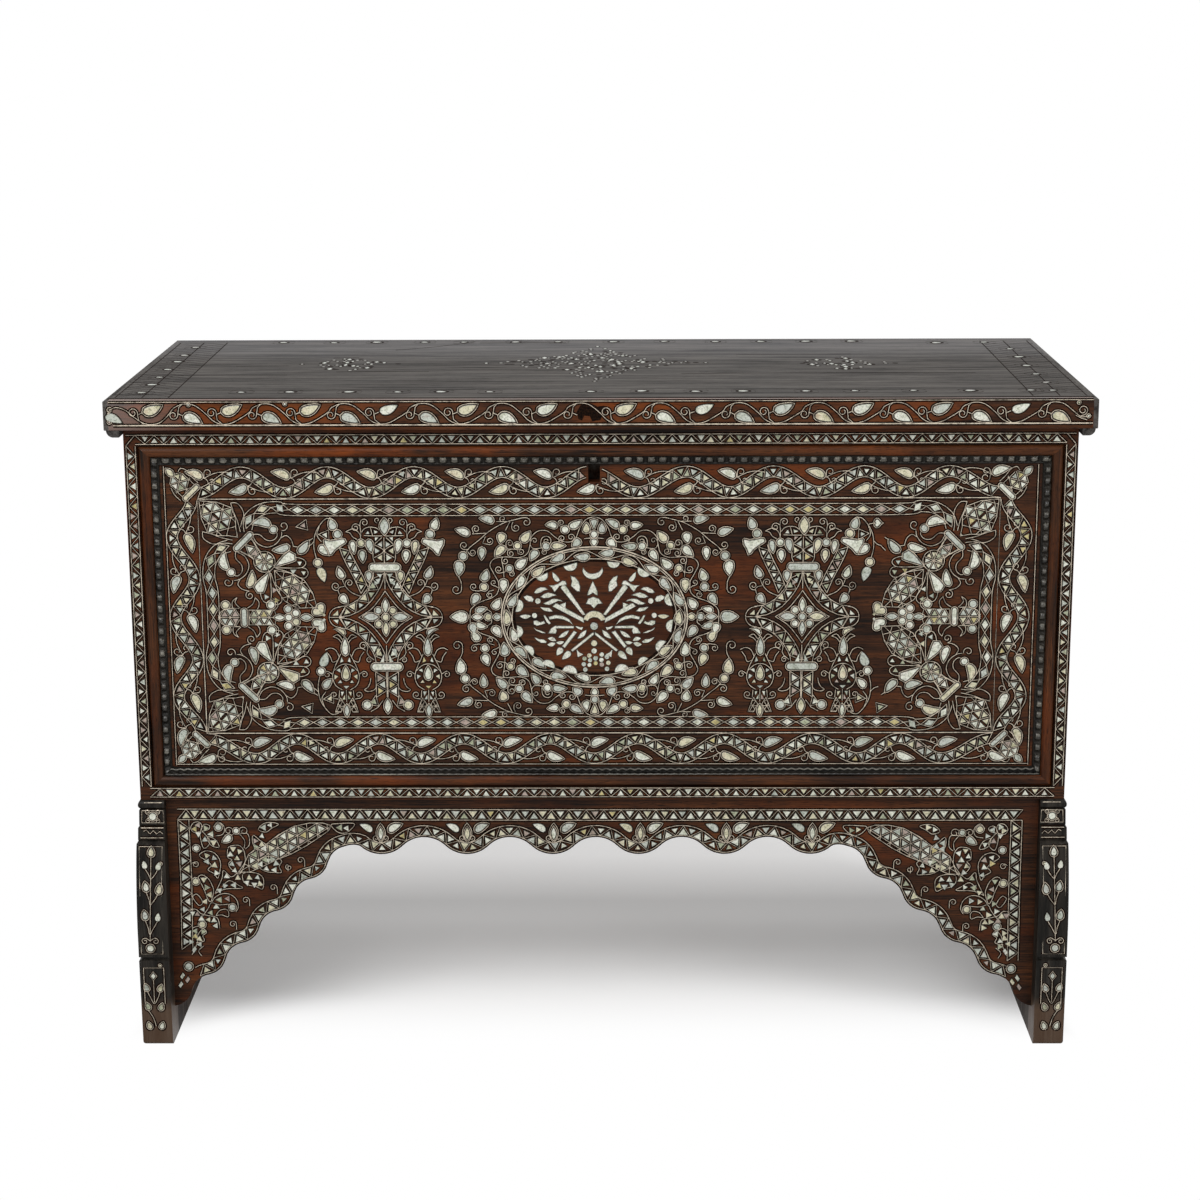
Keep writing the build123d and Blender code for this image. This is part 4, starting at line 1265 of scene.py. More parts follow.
def trophy(inlay):
    """The radiating staves, blades and moons inside the ring; a is across and b up from its middle."""
    bare = dict(tint=0, margin=0.4)
    p = inlay.pearl
    p(crescent(-2, 72, 15.5, 90, 7.5), **bare)
    p(
        [(-2, 55), (-6, 46), (-9.5, 38), (-10.5, 32.5), (-6.5, 33), (-2, 36.5), (2.5, 33), (5.5, 32.5),
         (5, 39), (1.5, 47)],
        **bare)
    p([(-12.5, 20), (-9, 28), (-1, 31), (7, 28), (12.5, 20.5), (5, 19.5), (-0.5, 13), (-6, 19)], **bare)
    p(arc(0, -7, 17, 12, 168) + arc(0, -11, 11, 150, 30), tint=2, margin=0.4)
    p(disc(-0.5, -13, 6), tint=1, margin=0.6)
    for u, v, radius in (
            (-0.5, -38.5, 5), (-0.5, -50, 4.4), (-7.5, -57, 3.7), (1.5, -61, 3.9), (10.5, -55.5, 3.7),
            (-14.5, -61.5, 3.5), (-6.5, -64, 3.5), (10, -63.5, 3.7), (18, -59, 3.7), (-15.5, -70, 3.7),
            (-7.5, -71, 3.3), (1.5, -68.5, 3.5), (10.5, -70.5, 3.7), (20, -68, 3.7), (-13.5, -78, 3.7),
            (18, -77, 3.7)):
        p(disc(u, v, radius, 10), margin=0.4)
    for side in (-1, 1):
        for outline in TROPHY:
            p(mirrored(outline, -side), **bare)
        p(disc(side * 81.5, 24.5, 4.4, 10), **bare)
        p(disc(side * 86.5, 3, 4.2, 10), **bare)
        for tail, tip, width in (
                ((-91, 2.5), (-108.5, 2), 7), ((-36.5, -19), (-53, -30.5), 6.5), ((-11, -18), (-25, -32), 7),
                ((-68, -31), (-55, -35), 6.5), ((-56, -38), (-69, -40.5), 7),
                ((-43.5, -36), (-56, -37.5), 5.5)):
            p(mirrored(petal(tail, tip, width, 1), -side), inlay.dice.choice((0, 0, 2)), margin=0.4)
        for tail, tip in (((-47, -45), (-55, -57)), ((-34.5, -51), (-47.5, -63))):
            p(mirrored(drop(tail, tip, 10), -side), **bare)


def ring_point(angle, across, up):
    """A point on an oval, at an angle in degrees."""
    return across * math.cos(math.radians(angle)), up * math.sin(math.radians(angle))


def medal_ring(inlay):
    """The dark inner oval with its half discs, the outer oval, and the winding stem between."""
    for across, up, width in ((119, 87, 1.0), (134.5, 104.5, 1.7), (131.5, 101.5, 1.0)):
        inlay.straight([ring_point(4 * k, across, up) for k in range(90)], width=width, closed=True)
    # the inner oval's own line has lost its wire and shows as a black groove
    inlay.groove_along([ring_point(4 * k, 116, 84) for k in range(91)], 3.4)
    # the half discs stand on the inner oval: place, radius and the way they bulge
    for u, v, radius, facing in (
            (-112, 18, 10, -15), (-75.5, 63, 9.3, -63), (-34.5, 79, 10.4, -73), (28, 82.5, 9.6, -94),
            (72.5, 70, 10.5, -121), (110.5, 26.5, 9.8, 198), (113, -13, 9.8, 171), (98, -44, 10, 141),
            (71.5, -67.5, 8.8, 130), (40, -80.5, 11, 103), (-36.5, -82.5, 11.3, 77), (-68, -73.5, 10.5, 70),
            (-97, -51, 9.8, 43), (-112.5, -21, 9.6, 0)):
        inlay.pearl(half_disc(u, v, radius, facing), tint=0, margin=0.5)
    waves = 11
    stem = []
    for k in range(180):
        angle = 2 * k
        swing = 0.5 + 0.5 * math.cos(math.radians(angle * waves))
        stem.append(ring_point(angle, 120 + 11 * swing, 88 + 12.5 * swing))
    inlay.straight(stem, closed=True)
    for k in range(2 * waves):
        angle = 360 / waves * (k / 2)
        out = k % 2 == 1
        # a leaf lies outside each dip of the stem and inside each of its rises
        a, b = (127.5, 97.5) if out else (123, 91.5)
        u, v = ring_point(angle, a, b)
        w, x = ring_point(angle + 3, a, b)
        way = math.atan2(x - v, w - u)
        lean = math.radians(inlay.dice.uniform(-8, 8)) + (0.12 if out else -0.12)
        c, s = math.cos(way + lean) * 11.5, math.sin(way + lean) * 11.5
        turn = 1 if inlay.dice.random() < 0.7 else -1
        inlay.pearl(drop((u - turn * c, v - turn * s), (u + turn * c, v + turn * s), 12.5, 1.5 * turn))


def medal_leaves(inlay):
    """Leaves, berries and curls along the vine, drawn for the upper left."""
    for tail, tip, width in (
            ((-167, 35), (-177, 19), 13), ((-147, 13), (-135, 29), 13.5), ((-161, 54), (-154, 72), 13.5),
            ((-130.5, 58), (-131.5, 37), 14), ((-112, 73), (-96, 88), 14), ((-128, 106), (-143, 90), 13),
            ((-132, 126), (-135, 109), 14), ((-105, 112), (-91, 128), 13.5), ((-81, 100), (-92, 84), 12.5),
            ((-62, 105.5), (-40, 106.5), 11.5), ((-19, 115), (-32, 105), 13), ((-36, 133), (-17, 144), 12),
            ((-52, 135), (-70, 137), 11), ((-11.5, 124), (-11, 141), 12), ((-172, 9), (-155, 14), 10)):
        inlay.pearl(drop(tail, tip, width, inlay.dice.uniform(-1.5, 1.5)))
    inlay.pearls(disc(-159, 45.5, 6), disc(-122, 73, 5.2), disc(-110, 106.5, 5.5), disc(-69, 105.5, 6),
                 disc(-41.5, 130, 6))
    inlay.runs(
        [(-160, 41), (-167, 39.5)] + curl(-174, 40.5, 180, 5.5, -1),
        [(-138, 44), (-142, 46.5)] + curl(-145, 47.5, 180, 4.5, -1, 1.1),
        [(-124, 74), (-129, 67.5)] + curl(-137, 66, 185, 5.5, -1),
        [(-131, 90.5), (-133, 87)] + curl(-133, 84, -90, 5, 1, 1.15), [(-133, 84), (-131, 74), (-130, 60)],
        [(-118, 101.5), (-124, 99.5)] + curl(-124.7, 95, -90, 5, 1, 1.15),
        [(-128, 101.5), (-118, 101.5), (-110, 101), (-109.5, 95)] + curl(-105.8, 93.5, -10, 4.6, 1, 1.15),
        [(-124, 101.5), (-126.5, 106)] + curl(-126.5, 110, 90, 5.5, -1),
        [(-92, 108), (-88, 102.5), (-79, 102.5), (-74, 104)], curl(-90, 113, 100, 4.5, -1, 1.1),
        [(-77, 105)] + curl(-76.5, 113, 90, 8.5, -1, 1.45, 0.76),
        [(-73, 101)] + curl(-75, 97, -90, 4, 1, 1.1), [(-50, 112)] + curl(-50.8, 117, 90, 4.6, -1, 1.15),
        [(-30, 114)] + curl(-28, 119, 90, 5, 1, 1.15),
        [(-45, 134), (-50, 136)] + curl(-51.5, 140, 90, 4.5, -1),
        [(-145, 41), (-152, 39)] + curl(-155.5, 34, -90, 4.5, 1, 1.1),
        [(-117, 70)] + curl(-115, 65, -90, 4, -1, 1.1), [(-14, 116.7), (0, 118)],
        [(-156, 13), (-149, 8), (-149, 3)])


def corner_spray(inlay):
    """The leafy spray between the medallion and a vase, drawn for the upper left."""
    inlay.straight(
        spline([(-184, 98), (-177, 105.5), (-165, 115), (-150, 128), (-129, 140), (-112, 145), (-102, 147.5)])
        + curl(-97, 147.5, 0, 6.5, -1, 1.1))
    inlay.runs(
        [(-173, 125.5)] + curl(-175, 131, 90, 5.6, -1), [(-175, 124), (-155, 125)],
        [(-156, 120), (-160, 110), (-152, 108.5)] + curl(-150, 108, 0, 5.5, 1), [(-140, 142), (-125, 142)],
        [(-134, 142)] + curl(-135, 146, 90, 4.2, -1, 0.9), [(-120.5, 142), (-127, 129)],
        [(-116, 141.5), (-118, 137)] + curl(-118, 133, -90, 6, 1),
        [(-180.5, 101)] + curl(-187, 101, 180, 6, -1), [(-182, 98), (-178, 93)] + curl(-175, 91.5, 0, 5, 1))
    inlay.pearls(
        drop((-178, 123), (-200, 131), 12.5, -1), drop((-161, 105), (-162, 85), 11.5),
        drop((-143, 142), (-165, 147), 12.5, -1.5), disc(-188.5, 91.3, 6.5),
        drop((-194.7, 85), (-195.5, 61), 15.5, 1))
    inlay.straight(spline([(-195.5, 61), (-192, 53), (-191.5, 45)]) + curl(-191.5, 42, -90, 7.5, -1, 1.15))


def medallion(inlay):
    """The oval in the middle of the panel, with its vine and sprays."""
    inlay.stand(MEDAL_U, MEDAL_V)
    trophy(inlay)
    medal_ring(inlay)
    for across in (1, -1):
        for up in (1, -1):
            inlay.stand(MEDAL_U, MEDAL_V, (across, 0), (0, up))
            inlay.straight(
                spline([(-180, 0), (-178, 13), (-165, 23), (-147, 30), (-139, 38), (-138, 52), (-145, 66),
                 (-150, 78), (-144, 87), (-129, 90), (-108, 89), (-96, 95), (-92, 108), (-90, 119),
                 (-80, 128), (-67, 128), (-57, 120), (-46, 113), (-34, 112), (-26, 118), (-20, 133),
                 (-11, 145), (0, 148.5)]))
            medal_leaves(inlay)
            corner_spray(inlay)
        inlay.stand(MEDAL_U, MEDAL_V, (across, 0))
        inlay.pearls(
            drop((-182, 1), (-209, 1), 18), petal((-178, 1), (-160, 1), 10.5), disc(-153.5, 1, 5.6),
            petal((-147, 1), (-134, 1), 10), drop((-178, -8), (-173, -25), 13))
    for up in (1, -1):
        inlay.stand(MEDAL_U, MEDAL_V, (1, 0), (0, up))
        inlay.pearls(bell((0, 129), (0, 146), 11), disc(0, 123, 5.6), drop((0, 117), (0, 105), 10.5))
    inlay.stand()


# ---------------------------------------------------------------- the carved ripple mouldings

# A ripple strip: how far apart its lumps are, how tall a face must stand to be rubbed grey and given a
# painted highlight, and its profile, which gives at shares of the width how much of the height is there
# between the lumps and on them.
NICKED = (
    16.5, 2.5,
    ((0.0, 0.0, 0.0), (0.0, 0.5, 0.5), (0.08, 0.4, 0.6), (0.16, 0.2, 0.95), (0.28, 0.1, 1.1),
     (0.44, 0.08, 1.15), (0.6, 0.1, 1.08), (0.7, 0.16, 0.75), (0.77, 0.2, 0.2), (0.84, 0.45, 0.62),
     (0.91, 0.4, 0.55), (0.97, 0.1, 0.1), (1.0, 0.0, 0.0)))
# the lowest strip is older work: two thin ridges that sway apart and together, with hollows between
SWAYING = (
    11.8, 3.2,
    ((0.0, 0.0, 0.0), (0.0, 0.5, 0.5), (0.03, 0.6, 0.85), (0.06, 0.9, 1.05), (0.22, 0.9, 1.05),
     (0.25, 0.3, 0.35), (0.5, 0.05, 0.25), (0.66, 0.3, 0.35), (0.69, 0.85, 1.0), (0.87, 0.85, 1.0),
     (0.9, 0.25, 0.3), (0.95, 0.1, 0.1), (1.0, 0.0, 0.0)))
CARVING_STEP = 1.6


def carved_ripple(side, outer, width, back, crown):
    """One side of the ripple moulding: lumps along its crown, and on three sides a bead inside them."""
    x0, z0, x1, z1 = outer
    corners = {"bottom": ((x0, z0), (x1, z0), (0, 1)), "right": ((x1, z0), (x1, z1), (-1, 0)),
               "top": ((x1, z1), (x0, z1), (0, -1)), "left": ((x0, z1), (x0, z0), (1, 0))}
    start, end, inward = corners[side]
    length = math.dist(start, end)
    along = ((end[0] - start[0]) / length, (end[1] - start[1]) / length)
    swaying = side == "bottom"
    pitch, grey, profile = SWAYING if swaying else NICKED
    count = int(length / CARVING_STEP)
    dice = random.Random(side)
    lumps = [dice.uniform(0.86, 1.0) for _ in range(int(length / pitch) + 3)]
    points, faces, crests, tall = [], [], [], []
    for share, low, high in profile:
        inset = share * width
        reach = length - 2 * inset
        for k in range(count + 1):
            run = inset + reach * k / count
            phase = run / pitch
            lump = (0.5 - 0.5 * math.cos(math.tau * phase)) ** 0.7 * lumps[int(phase)]
            if share > 0.75 and not swaying:
                # the bead is nicked twice as often as the crown
                lump = 0.5 + 0.5 * math.cos(2 * math.tau * phase + 0.6)
            tall.append(low + (high - low) * lump)
            height = tall[-1] * (back - crown)
            place = inset
            if swaying and 0.6 < share < 0.9:
                place += width * 0.07 * math.cos(math.tau * phase)
            elif swaying and 0.04 < share < 0.4:
                place -= width * 0.04 * math.cos(math.tau * phase)
            points.append((start[0] + along[0] * run + inward[0] * place, back - height,
                           start[1] + along[1] * run + inward[1] * place))
    for row in range(len(profile) - 1):
        for k in range(count):
            a = row * (count + 1) + k
            faces.append((a, a + 1, a + count + 2, a + count + 1))
            # the tallest faces take the crest finish: rubbed grey, and a painted highlight
            crests.append(sum(tall[corner] for corner in faces[-1]) > grey)
    mesh = bpy.data.meshes.new(side + "_ripple_carved")
    mesh.from_pydata([Vector(p) * MM for p in points], [], faces)
    mesh.polygons.foreach_set("use_smooth", [True] * len(faces))
    mesh.update()
    piece = placed(side + "_ripple_carved", mesh)
    grain = "level" if side in ("top", "bottom") else "upright"
    mesh.materials.append(bpy.data.materials["ebonised_walnut_" + grain])
    mesh.materials.append(bpy.data.materials["ebonised_walnut_crest_rubbed_and_highlit"])
    mesh.polygons.foreach_set("material_index", crests)
    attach(piece, "case")
    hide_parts(side + "_ripple")


def carved_ripples():
    """The four ripple strips, each as wide and deep as its measured one."""
    left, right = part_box("left_ripple"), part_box("right_ripple")
    outer = [v / MM for v in (left[0][0], left[0][2], right[1][0], right[1][2])]
    width = (left[1][0] - left[0][0]) / MM
    for side in ("bottom", "right", "top", "left"):
        carved_ripple(side, outer, width, left[1][1] / MM, left[0][1] / MM)


# ---------------------------------------------------------------- the back

def on_back(u, v, h):
    """The outer face of the back boards, with u seen from behind."""
    return (-u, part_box("back_board_middle")[1][1] / MM + h, v)


def board_joints(inlay):
    """The open joints between the back boards, packed with dirt, and the drying cracks beside them."""
    for name in ("back_board_lower", "back_board_middle"):
        low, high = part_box(name)
        v = high[2] / MM
        inlay.groove_along([(low[0] / MM + 1, v), (0, v + 0.3), (high[0] / MM - 1, v)], 2.2, 0.12)
        start = inlay.dice.uniform(-400, 200)
        inlay.groove_along([(start, v - 62), (start + 90, v - 60.4), (start + 190, v - 61)], 1.2, 0.12)


# ---------------------------------------------------------------- the apron

APRON_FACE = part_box("apron")[0][1] / MM


def apron_rim():
    """The apron's waved lower edge from left to right, felt for from below."""
    skin = skin_of("apron")
    rim = []
    for u in range(-602, 603, 4):
        hit = skin.ray_cast(Vector((u * MM, (APRON_FACE + 0.5) * MM, -1.0)), Vector((0, 0, 1)))[0]
        rim.append((float(u), hit.z / MM))
    return rim


def apron_lobe(inlay):
    """An upright petal between two leaves and two curls; v is counted from its own middle."""
    inlay.pearl(petal((0, -11), (0, 12), 9.5))
    inlay.wire(petal((0, -14), (0, 17), 14), closed=True)
    for s in (1, -1):
        inlay.pearl(drop((12 * s, 4), (31 * s, 15), 11, 1.5 * s), ringed=s > 0)
        inlay.runs([(2 * s, -15), (6 * s, -12)] + mirrored(curl(7, -11.5, 0, 5, 1, 1.2), s))


def leaf_of_chips(inlay, outline, *places):
    """A leaf drawn in wire, with pearl triangles in it; each place is across, up and where its tip looks."""
    if outline:
        inlay.wire(outline, closed=True)
    for u, v, tip in places:
        cell = [(u + 9.2 * math.cos(math.radians(tip + turn)), v + 9.2 * math.sin(math.radians(tip + turn)))
                for turn in (0, 120, 240)]
        inlay.triangle(*cell, fill=0.64)


def spandrel(inlay):
    """The leaves, nets and berries in the apron's end, drawn for the left."""
    # the flower in the corner and the leaves below it
    leaf_of_chips(
        inlay, [(-593, 327), (-604, 325), (-608, 332), (-604, 339), (-597, 341), (-592, 337)],
        (-597, 336, 300), (-602, 330, 60), (-597, 322, 270))
    leaf_of_chips(
        inlay, [(-593, 327), (-588, 337), (-580, 335), (-582, 329)], (-586, 331, 120), (-578, 322, 60))
    leaf_of_chips(
        inlay, [(-593, 327), (-594, 314), (-590, 300), (-583, 304), (-581, 313)], (-587.6, 313.5, 90))
    leaf_of_chips(inlay, [(-583, 318), (-572, 313), (-567, 302), (-574, 302), (-581, 307)], (-575, 309, 270))
    leaf_of_chips(
        inlay,
        [(-597, 288), (-591, 294.4), (-583, 295.6), (-574, 292), (-568, 284), (-566, 276), (-567, 266),
         (-571, 253), (-576, 260), (-585, 266), (-580, 273), (-586, 280)],
        (-586, 288.4, 250), (-575.4, 284.4, 100), (-575, 273, 80), (-586, 279, 60), (-572.6, 261, 230))
    leaf_of_chips(
        inlay,
        [(-600, 254), (-594, 258), (-585, 252), (-580, 242), (-578, 232), (-583, 216), (-588, 222),
         (-591, 232), (-595, 242)],
        (-591.6, 251, 270), (-588, 238.4, 120), (-584, 227, 60), (-591, 216, 60))
    # the bird: its head, its long body and tail, and the leaves round it
    leaf_of_chips(
        inlay,
        [(-554, 300), (-547, 304), (-537, 304), (-531, 297), (-529, 286), (-530, 276), (-536, 262),
         (-541, 260), (-551, 268), (-554, 276), (-549, 282), (-555, 286)],
        (-546.6, 299, 270), (-537, 295, 250), (-541, 284, 90), (-549, 275, 200), (-537.6, 275.6, 280),
        (-545, 265, 80), (-551, 290, 330))
    inlay.net(
        [(-540, 262), (-531, 275), (-524, 290), (-514, 298), (-497, 306), (-478, 321), (-455, 334),
         (-432, 339), (-412, 339), (-400, 335), (-404, 327), (-418, 317), (-437, 304), (-460, 291),
         (-482, 282), (-504, 271), (-522, 263)],
        33, 17.5, foot=(-524, 272))
    leaf_of_chips(
        inlay, [(-516, 320), (-506, 312), (-496, 304), (-500, 298), (-512, 298), (-517, 308)],
        (-503, 319, 80), (-503.4, 306, 90), (-513, 311, 0), (-513, 302, 240))
    leaf_of_chips(
        inlay, [(-508, 329), (-500, 338), (-488, 340), (-478, 337), (-488, 331), (-497, 325)],
        (-500, 332, 60), (-490, 335.6, 180))
    leaf_of_chips(
        inlay, [(-400, 336), (-390, 338), (-366, 338), (-372, 328), (-382, 323), (-392, 326)],
        (-387, 332, 180), (-377, 331, 180))
    leaf_of_chips(
        inlay,
        [(-507, 282), (-497, 287), (-485, 286), (-475, 280), (-479, 271), (-476, 262), (-487, 262),
         (-497, 263), (-507, 268), (-511, 276)],
        (-494.6, 281, 270), (-483.4, 276, 100), (-498, 268, 200), (-486, 266, 300), (-506, 275, 60))
    leaf_of_chips(
        inlay,
        [(-533, 260), (-521, 262), (-509, 259), (-503, 251), (-505, 236), (-515, 240), (-525, 242),
         (-533, 248)],
        (-524, 253.6, 90), (-512, 254, 200), (-528, 246, 40), (-517, 243, 270), (-508.6, 244, 220))
    # the branch that runs down to the foot, with its leaves and berries
    leaf_of_chips(
        inlay, (), (-557.6, 255.6, 90), (-541, 253.6, 90), (-560.6, 241, 250), (-547, 242, 60),
        (-569, 233.6, 40), (-569.4, 219, 60), (-557, 220.6, 60), (-575, 208, 90), (-595, 204, 60),
        (-583.4, 198.4, 60), (-610.6, 197.6, 270), (-603.6, 196, 90), (-598, 189, 90), (-587, 187.6, 180),
        (-579, 186.4, 330), (-576.6, 178, 300), (-607.6, 169.6, 180), (-596, 168.4, 0), (-608.4, 161, 200),
        (-602, 157, 200), (-615, 152.4, 0), (-601.6, 148, 300))
    inlay.runs(
        [(-576, 229), (-565, 252), (-562, 265), (-551, 255), (-541, 262)],
        [(-576, 229), (-559, 236), (-535, 237), (-541, 242), (-554, 249), (-565, 240)],
        [(-582, 214), (-577, 222), (-567, 228), (-555, 228), (-545, 220), (-542, 208), (-546, 200)],
        [(-600, 188), (-588, 204), (-582, 214), (-571, 211), (-556, 212)],
        [(-610, 224), (-604, 228), (-598, 222), (-595, 214), (-600, 210), (-606, 216), (-610, 224)],
        [(-576, 194), (-570, 202), (-561, 204), (-557, 200), (-558, 192), (-567, 195), (-576, 194)],
        [(-618, 202), (-606, 204), (-598, 197), (-588, 194), (-574, 190), (-571, 174)],
        [(-612, 174), (-604, 177), (-594, 172), (-591, 167), (-597, 162), (-595, 154), (-607, 151)],
        [(-596, 174), (-604, 164), (-606, 150), (-614, 132)], [(-600, 130), (-604, 138), (-596, 146)],
        [(-574, 333), (-568, 340.5), (-560, 336), (-558, 328), (-562, 321), (-572, 319)],
        [(-544, 323), (-549, 319)], curl(-547, 330, 120, 6, 1, 1.1), curl(-536, 330, 60, 7, -1, 1.1),
        [(-537, 323), (-529, 312), (-530, 300)], [(-539, 322), (-524, 322), (-522, 306), (-528, 299)],
        [(-604, 279), (-610, 276)] + curl(-601, 279, -30, 5, -1, 1.1))
    inlay.pearls(
        disc(-567, 332.5, 5.8), disc(-601, 300, 5.4), disc(-541, 327, 4.8), disc(-604, 248, 5.8),
        disc(-551, 207, 5.8), disc(-597, 180, 5.8), drop((-548, 320), (-563, 309), 12, 1))
    inlay.pearl(disc(-620, 113, 5.6), ringed=True)
    for u, v in ((-610.6, 140), (-630, 98), (-622.6, 92), (-633, 84)):
        inlay.pearl([(u + 4, v + 1), (u + 0.8, v + 6), (u - 4, v - 1), (u - 0.8, v - 6)], margin=1.0)
    for place in ((-445, 283, 100), (-470, 276, 200), (-487, 240, 100), (-529, 221, 110), (-550, 184, 120)):
        inlay.runs([(place[0] + 4, place[1] - 12), (place[0] + 4, place[1] - 3)]
                   + curl(place[0] + 3.5, place[1] - 1, place[2], 5.4, 1, 1.1))


def apron_inlay(inlay):
    """The apron's bands, the ribbon along its waves, and the ornament between them."""
    inlay.band([(-627, 352.6), (0, 351), (620, 350.6)], 16.4, 12.8)
    inlay.band([(-618.5, 344), (-618, 250), (-621, 140)], 16.4, 12.4)
    inlay.band([(611.5, 342), (611.5, 250), (613, 122)], 16.4, 12.4)
    rim = apron_rim()
    inlay.band(beside(rim, 9.8), 15.4, 12.4)
    for u in (-327, -199, -71, 57, 184, 311):
        inlay.stand(u, 322)
        apron_lobe(inlay)
    inlay.stand()
    spandrel(inlay)
    inlay.stand(-9, -4, (-1, 0))
    spandrel(inlay)


# ---------------------------------------------------------------- the feet

def foot_inlay(inlay):
    """The squares and the flowering stem on a foot, drawn for the left one."""
    inlay.straight([(-672, 376), (-646, 376)])
    inlay.straight([(-676, 363.5), (-645, 363.5), (-644, 345), (-677, 345)], closed=True)
    for s, t in ((1, 1), (1, -1), (-1, 1), (-1, -1)):
        tendril = [(5, 1.5), (8, 3.5)] + curl(8.5, 3.8, 20, 3.4, 1, 1.1, 0.6)
        inlay.wire([(-660.5 + s * u, 354.5 + t * v) for u, v in tendril])
    inlay.pearl(disc(-660.5, 354.5, 6.6), 0)
    inlay.straight([(-678, 338), (-645, 338)])
    inlay.straight(
        [(-674, 333), (-670, 335), (-665, 329), (-660, 334), (-655, 329), (-650, 333), (-646, 329)])
    inlay.straight([(-679, 323), (-645, 323)])
    inlay.straight(
        [(-681, 311), (-647, 311), (-650, 250), (-652, 145), (-684, 145), (-682, 250)], closed=True)
    stem = [(-664, 296), (-666, 250), (-668, 210), (-670, 165)]
    inlay.runs(
        stem, [(-673, 277), (-668, 268), (-665, 262), (-658, 270), (-655, 276)],
        [(-673, 242), (-669, 230), (-667.5, 222), (-660, 231), (-655, 240)],
        [(-676, 198), (-672, 186), (-670, 176), (-664, 186), (-658, 196)],
        [(-670, 166), (-676, 170)] + curl(-677, 170, 170, 5, 1, 1.15),
        [(-670, 166), (-664, 170)] + curl(-663, 170, 10, 5, -1, 1.15))
    for tail, tip, ringed in (
            ((-664, 296), (-663, 310), True), ((-673, 277), (-675, 290), False),
            ((-655, 275), (-652, 288), False), ((-672, 243), (-674, 257), True),
            ((-655, 239), (-652, 254), True), ((-675, 199), (-677, 213), True),
            ((-658, 196), (-656, 210), False)):
        inlay.pearl(drop(tail, tip, 8.6), ringed=ringed)
    inlay.pearl(disc(-670, 154, 5.2), ringed=True)
    inlay.pearls(disc(-650, 285, 1.6, 8), disc(-657, 127, 1.6, 8))
    inlay.straight([(-682, 66), (-682, 123), (-652, 123), (-652, 66)])
    inlay.runs(
        [(-668, 104), (-668, 68)], [(-678, 86), (-672, 72), (-668, 66), (-663, 74), (-659, 85)],
        [(-678, 56), (-671, 44), (-667, 30)])
    inlay.pearl(rhomb(-668, 110, 4.6, 6.2))
    for tail, tip in (
            ((-677, 86), (-681, 98)), ((-660, 85), (-656, 97)), ((-676, 56), (-680, 68)),
            ((-660, 55), (-656, 67)), ((-675, 25), (-679, 37)), ((-660, 25), (-656, 37))):
        inlay.pearl(drop(tail, tip, 8.4))


# ---------------------------------------------------------------- the lid's top

# Middles of the chips that are left on the lid, as (u, v) with v counted back from the front edge:
# three rows along the edges, and what marks the two rosettes and the star between them.
FRONT_CHIPS = (
    (-515, 78), (-445, 80), (-360, 77), (-290, 78), (-228, 79), (-158, 77), (-13, 78), (60, 80),
    (137, 77), (205, 78), (295, 76), (365, 79), (449, 78), (530, 77), (617, 80))
BACK_CHIPS = (
    (-520, 590), (-437, 588), (-368, 590), (-290, 592), (-226, 588), (-142, 590), (-73, 589), (17, 590),
    (100, 592), (183, 588), (257, 590), (330, 589), (404, 590), (540, 570), (617, 572))
END_CHIPS = (
    (-658, 75), (-656, 150), (-658, 222), (-659, 300), (-657, 380), (-658, 450), (-655, 535), (648, 78),
    (650, 150), (648, 230), (647, 320), (649, 408), (648, 497))
LEFT_ROSETTE = (
    (-428, 362), (-393, 398), (-393, 365), (-348, 370), (-357, 310), (-413, 300), (-393, 340),
    (-380, 330))
RIGHT_ROSETTE = (
    (332, 382), (378, 398), (378, 368), (385, 355), (410, 335), (352, 340), (322, 335), (369, 288),
    (371, 310))
STAR_CHIPS = (
    (-90, 410), (-67, 418), (-40, 395), (-47, 350), (-84, 350), (-52, 287), (-20, 308), (-2, 315),
    (0, 268), (25, 365), (27, 345), (18, 330), (45, 298), (15, 390), (0, 408), (32, 430), (-18, 448),
    (63, 363))
# The painted shadow of the gap behind the lid's front rim, and the drying cracks, each a line and its width.
LID_JOINT_SHADOW_AND_CRACKS = (
    # the first line is the joint behind the rim, drawn dark as a painted shadow of its gap
    ([(-697, 21), (-200, 22), (250, 20), (697, 21)], 9.5),
    ([(-400, 270), (-330, 273), (-260, 271)], 3.6), ([(-420, 415), (-380, 417)], 3.2),
    ([(-200, 580), (-130, 583), (-60, 580)], 4.2), ([(-620, 92), (-400, 96), (-180, 95)], 2.2),
    ([(120, 246), (330, 250), (560, 247)], 2.4), ([(-640, 236), (-470, 240)], 2.2),
    ([(-560, 330), (-480, 333)], 2.4), ([(210, 440), (390, 446)], 2.4),
    ([(-330, 500), (-270, 536), (-210, 590)], 3.0))
# The star and the two rosettes: half width, half depth, middle, how pointed they are and how full.
CHIP_FIELDS = (
    (170, 195, -10, 356, 0.62, 0.62), (75, 75, -388, 350, 0.8, 0.42), (85, 75, 366, 345, 0.8, 0.5))


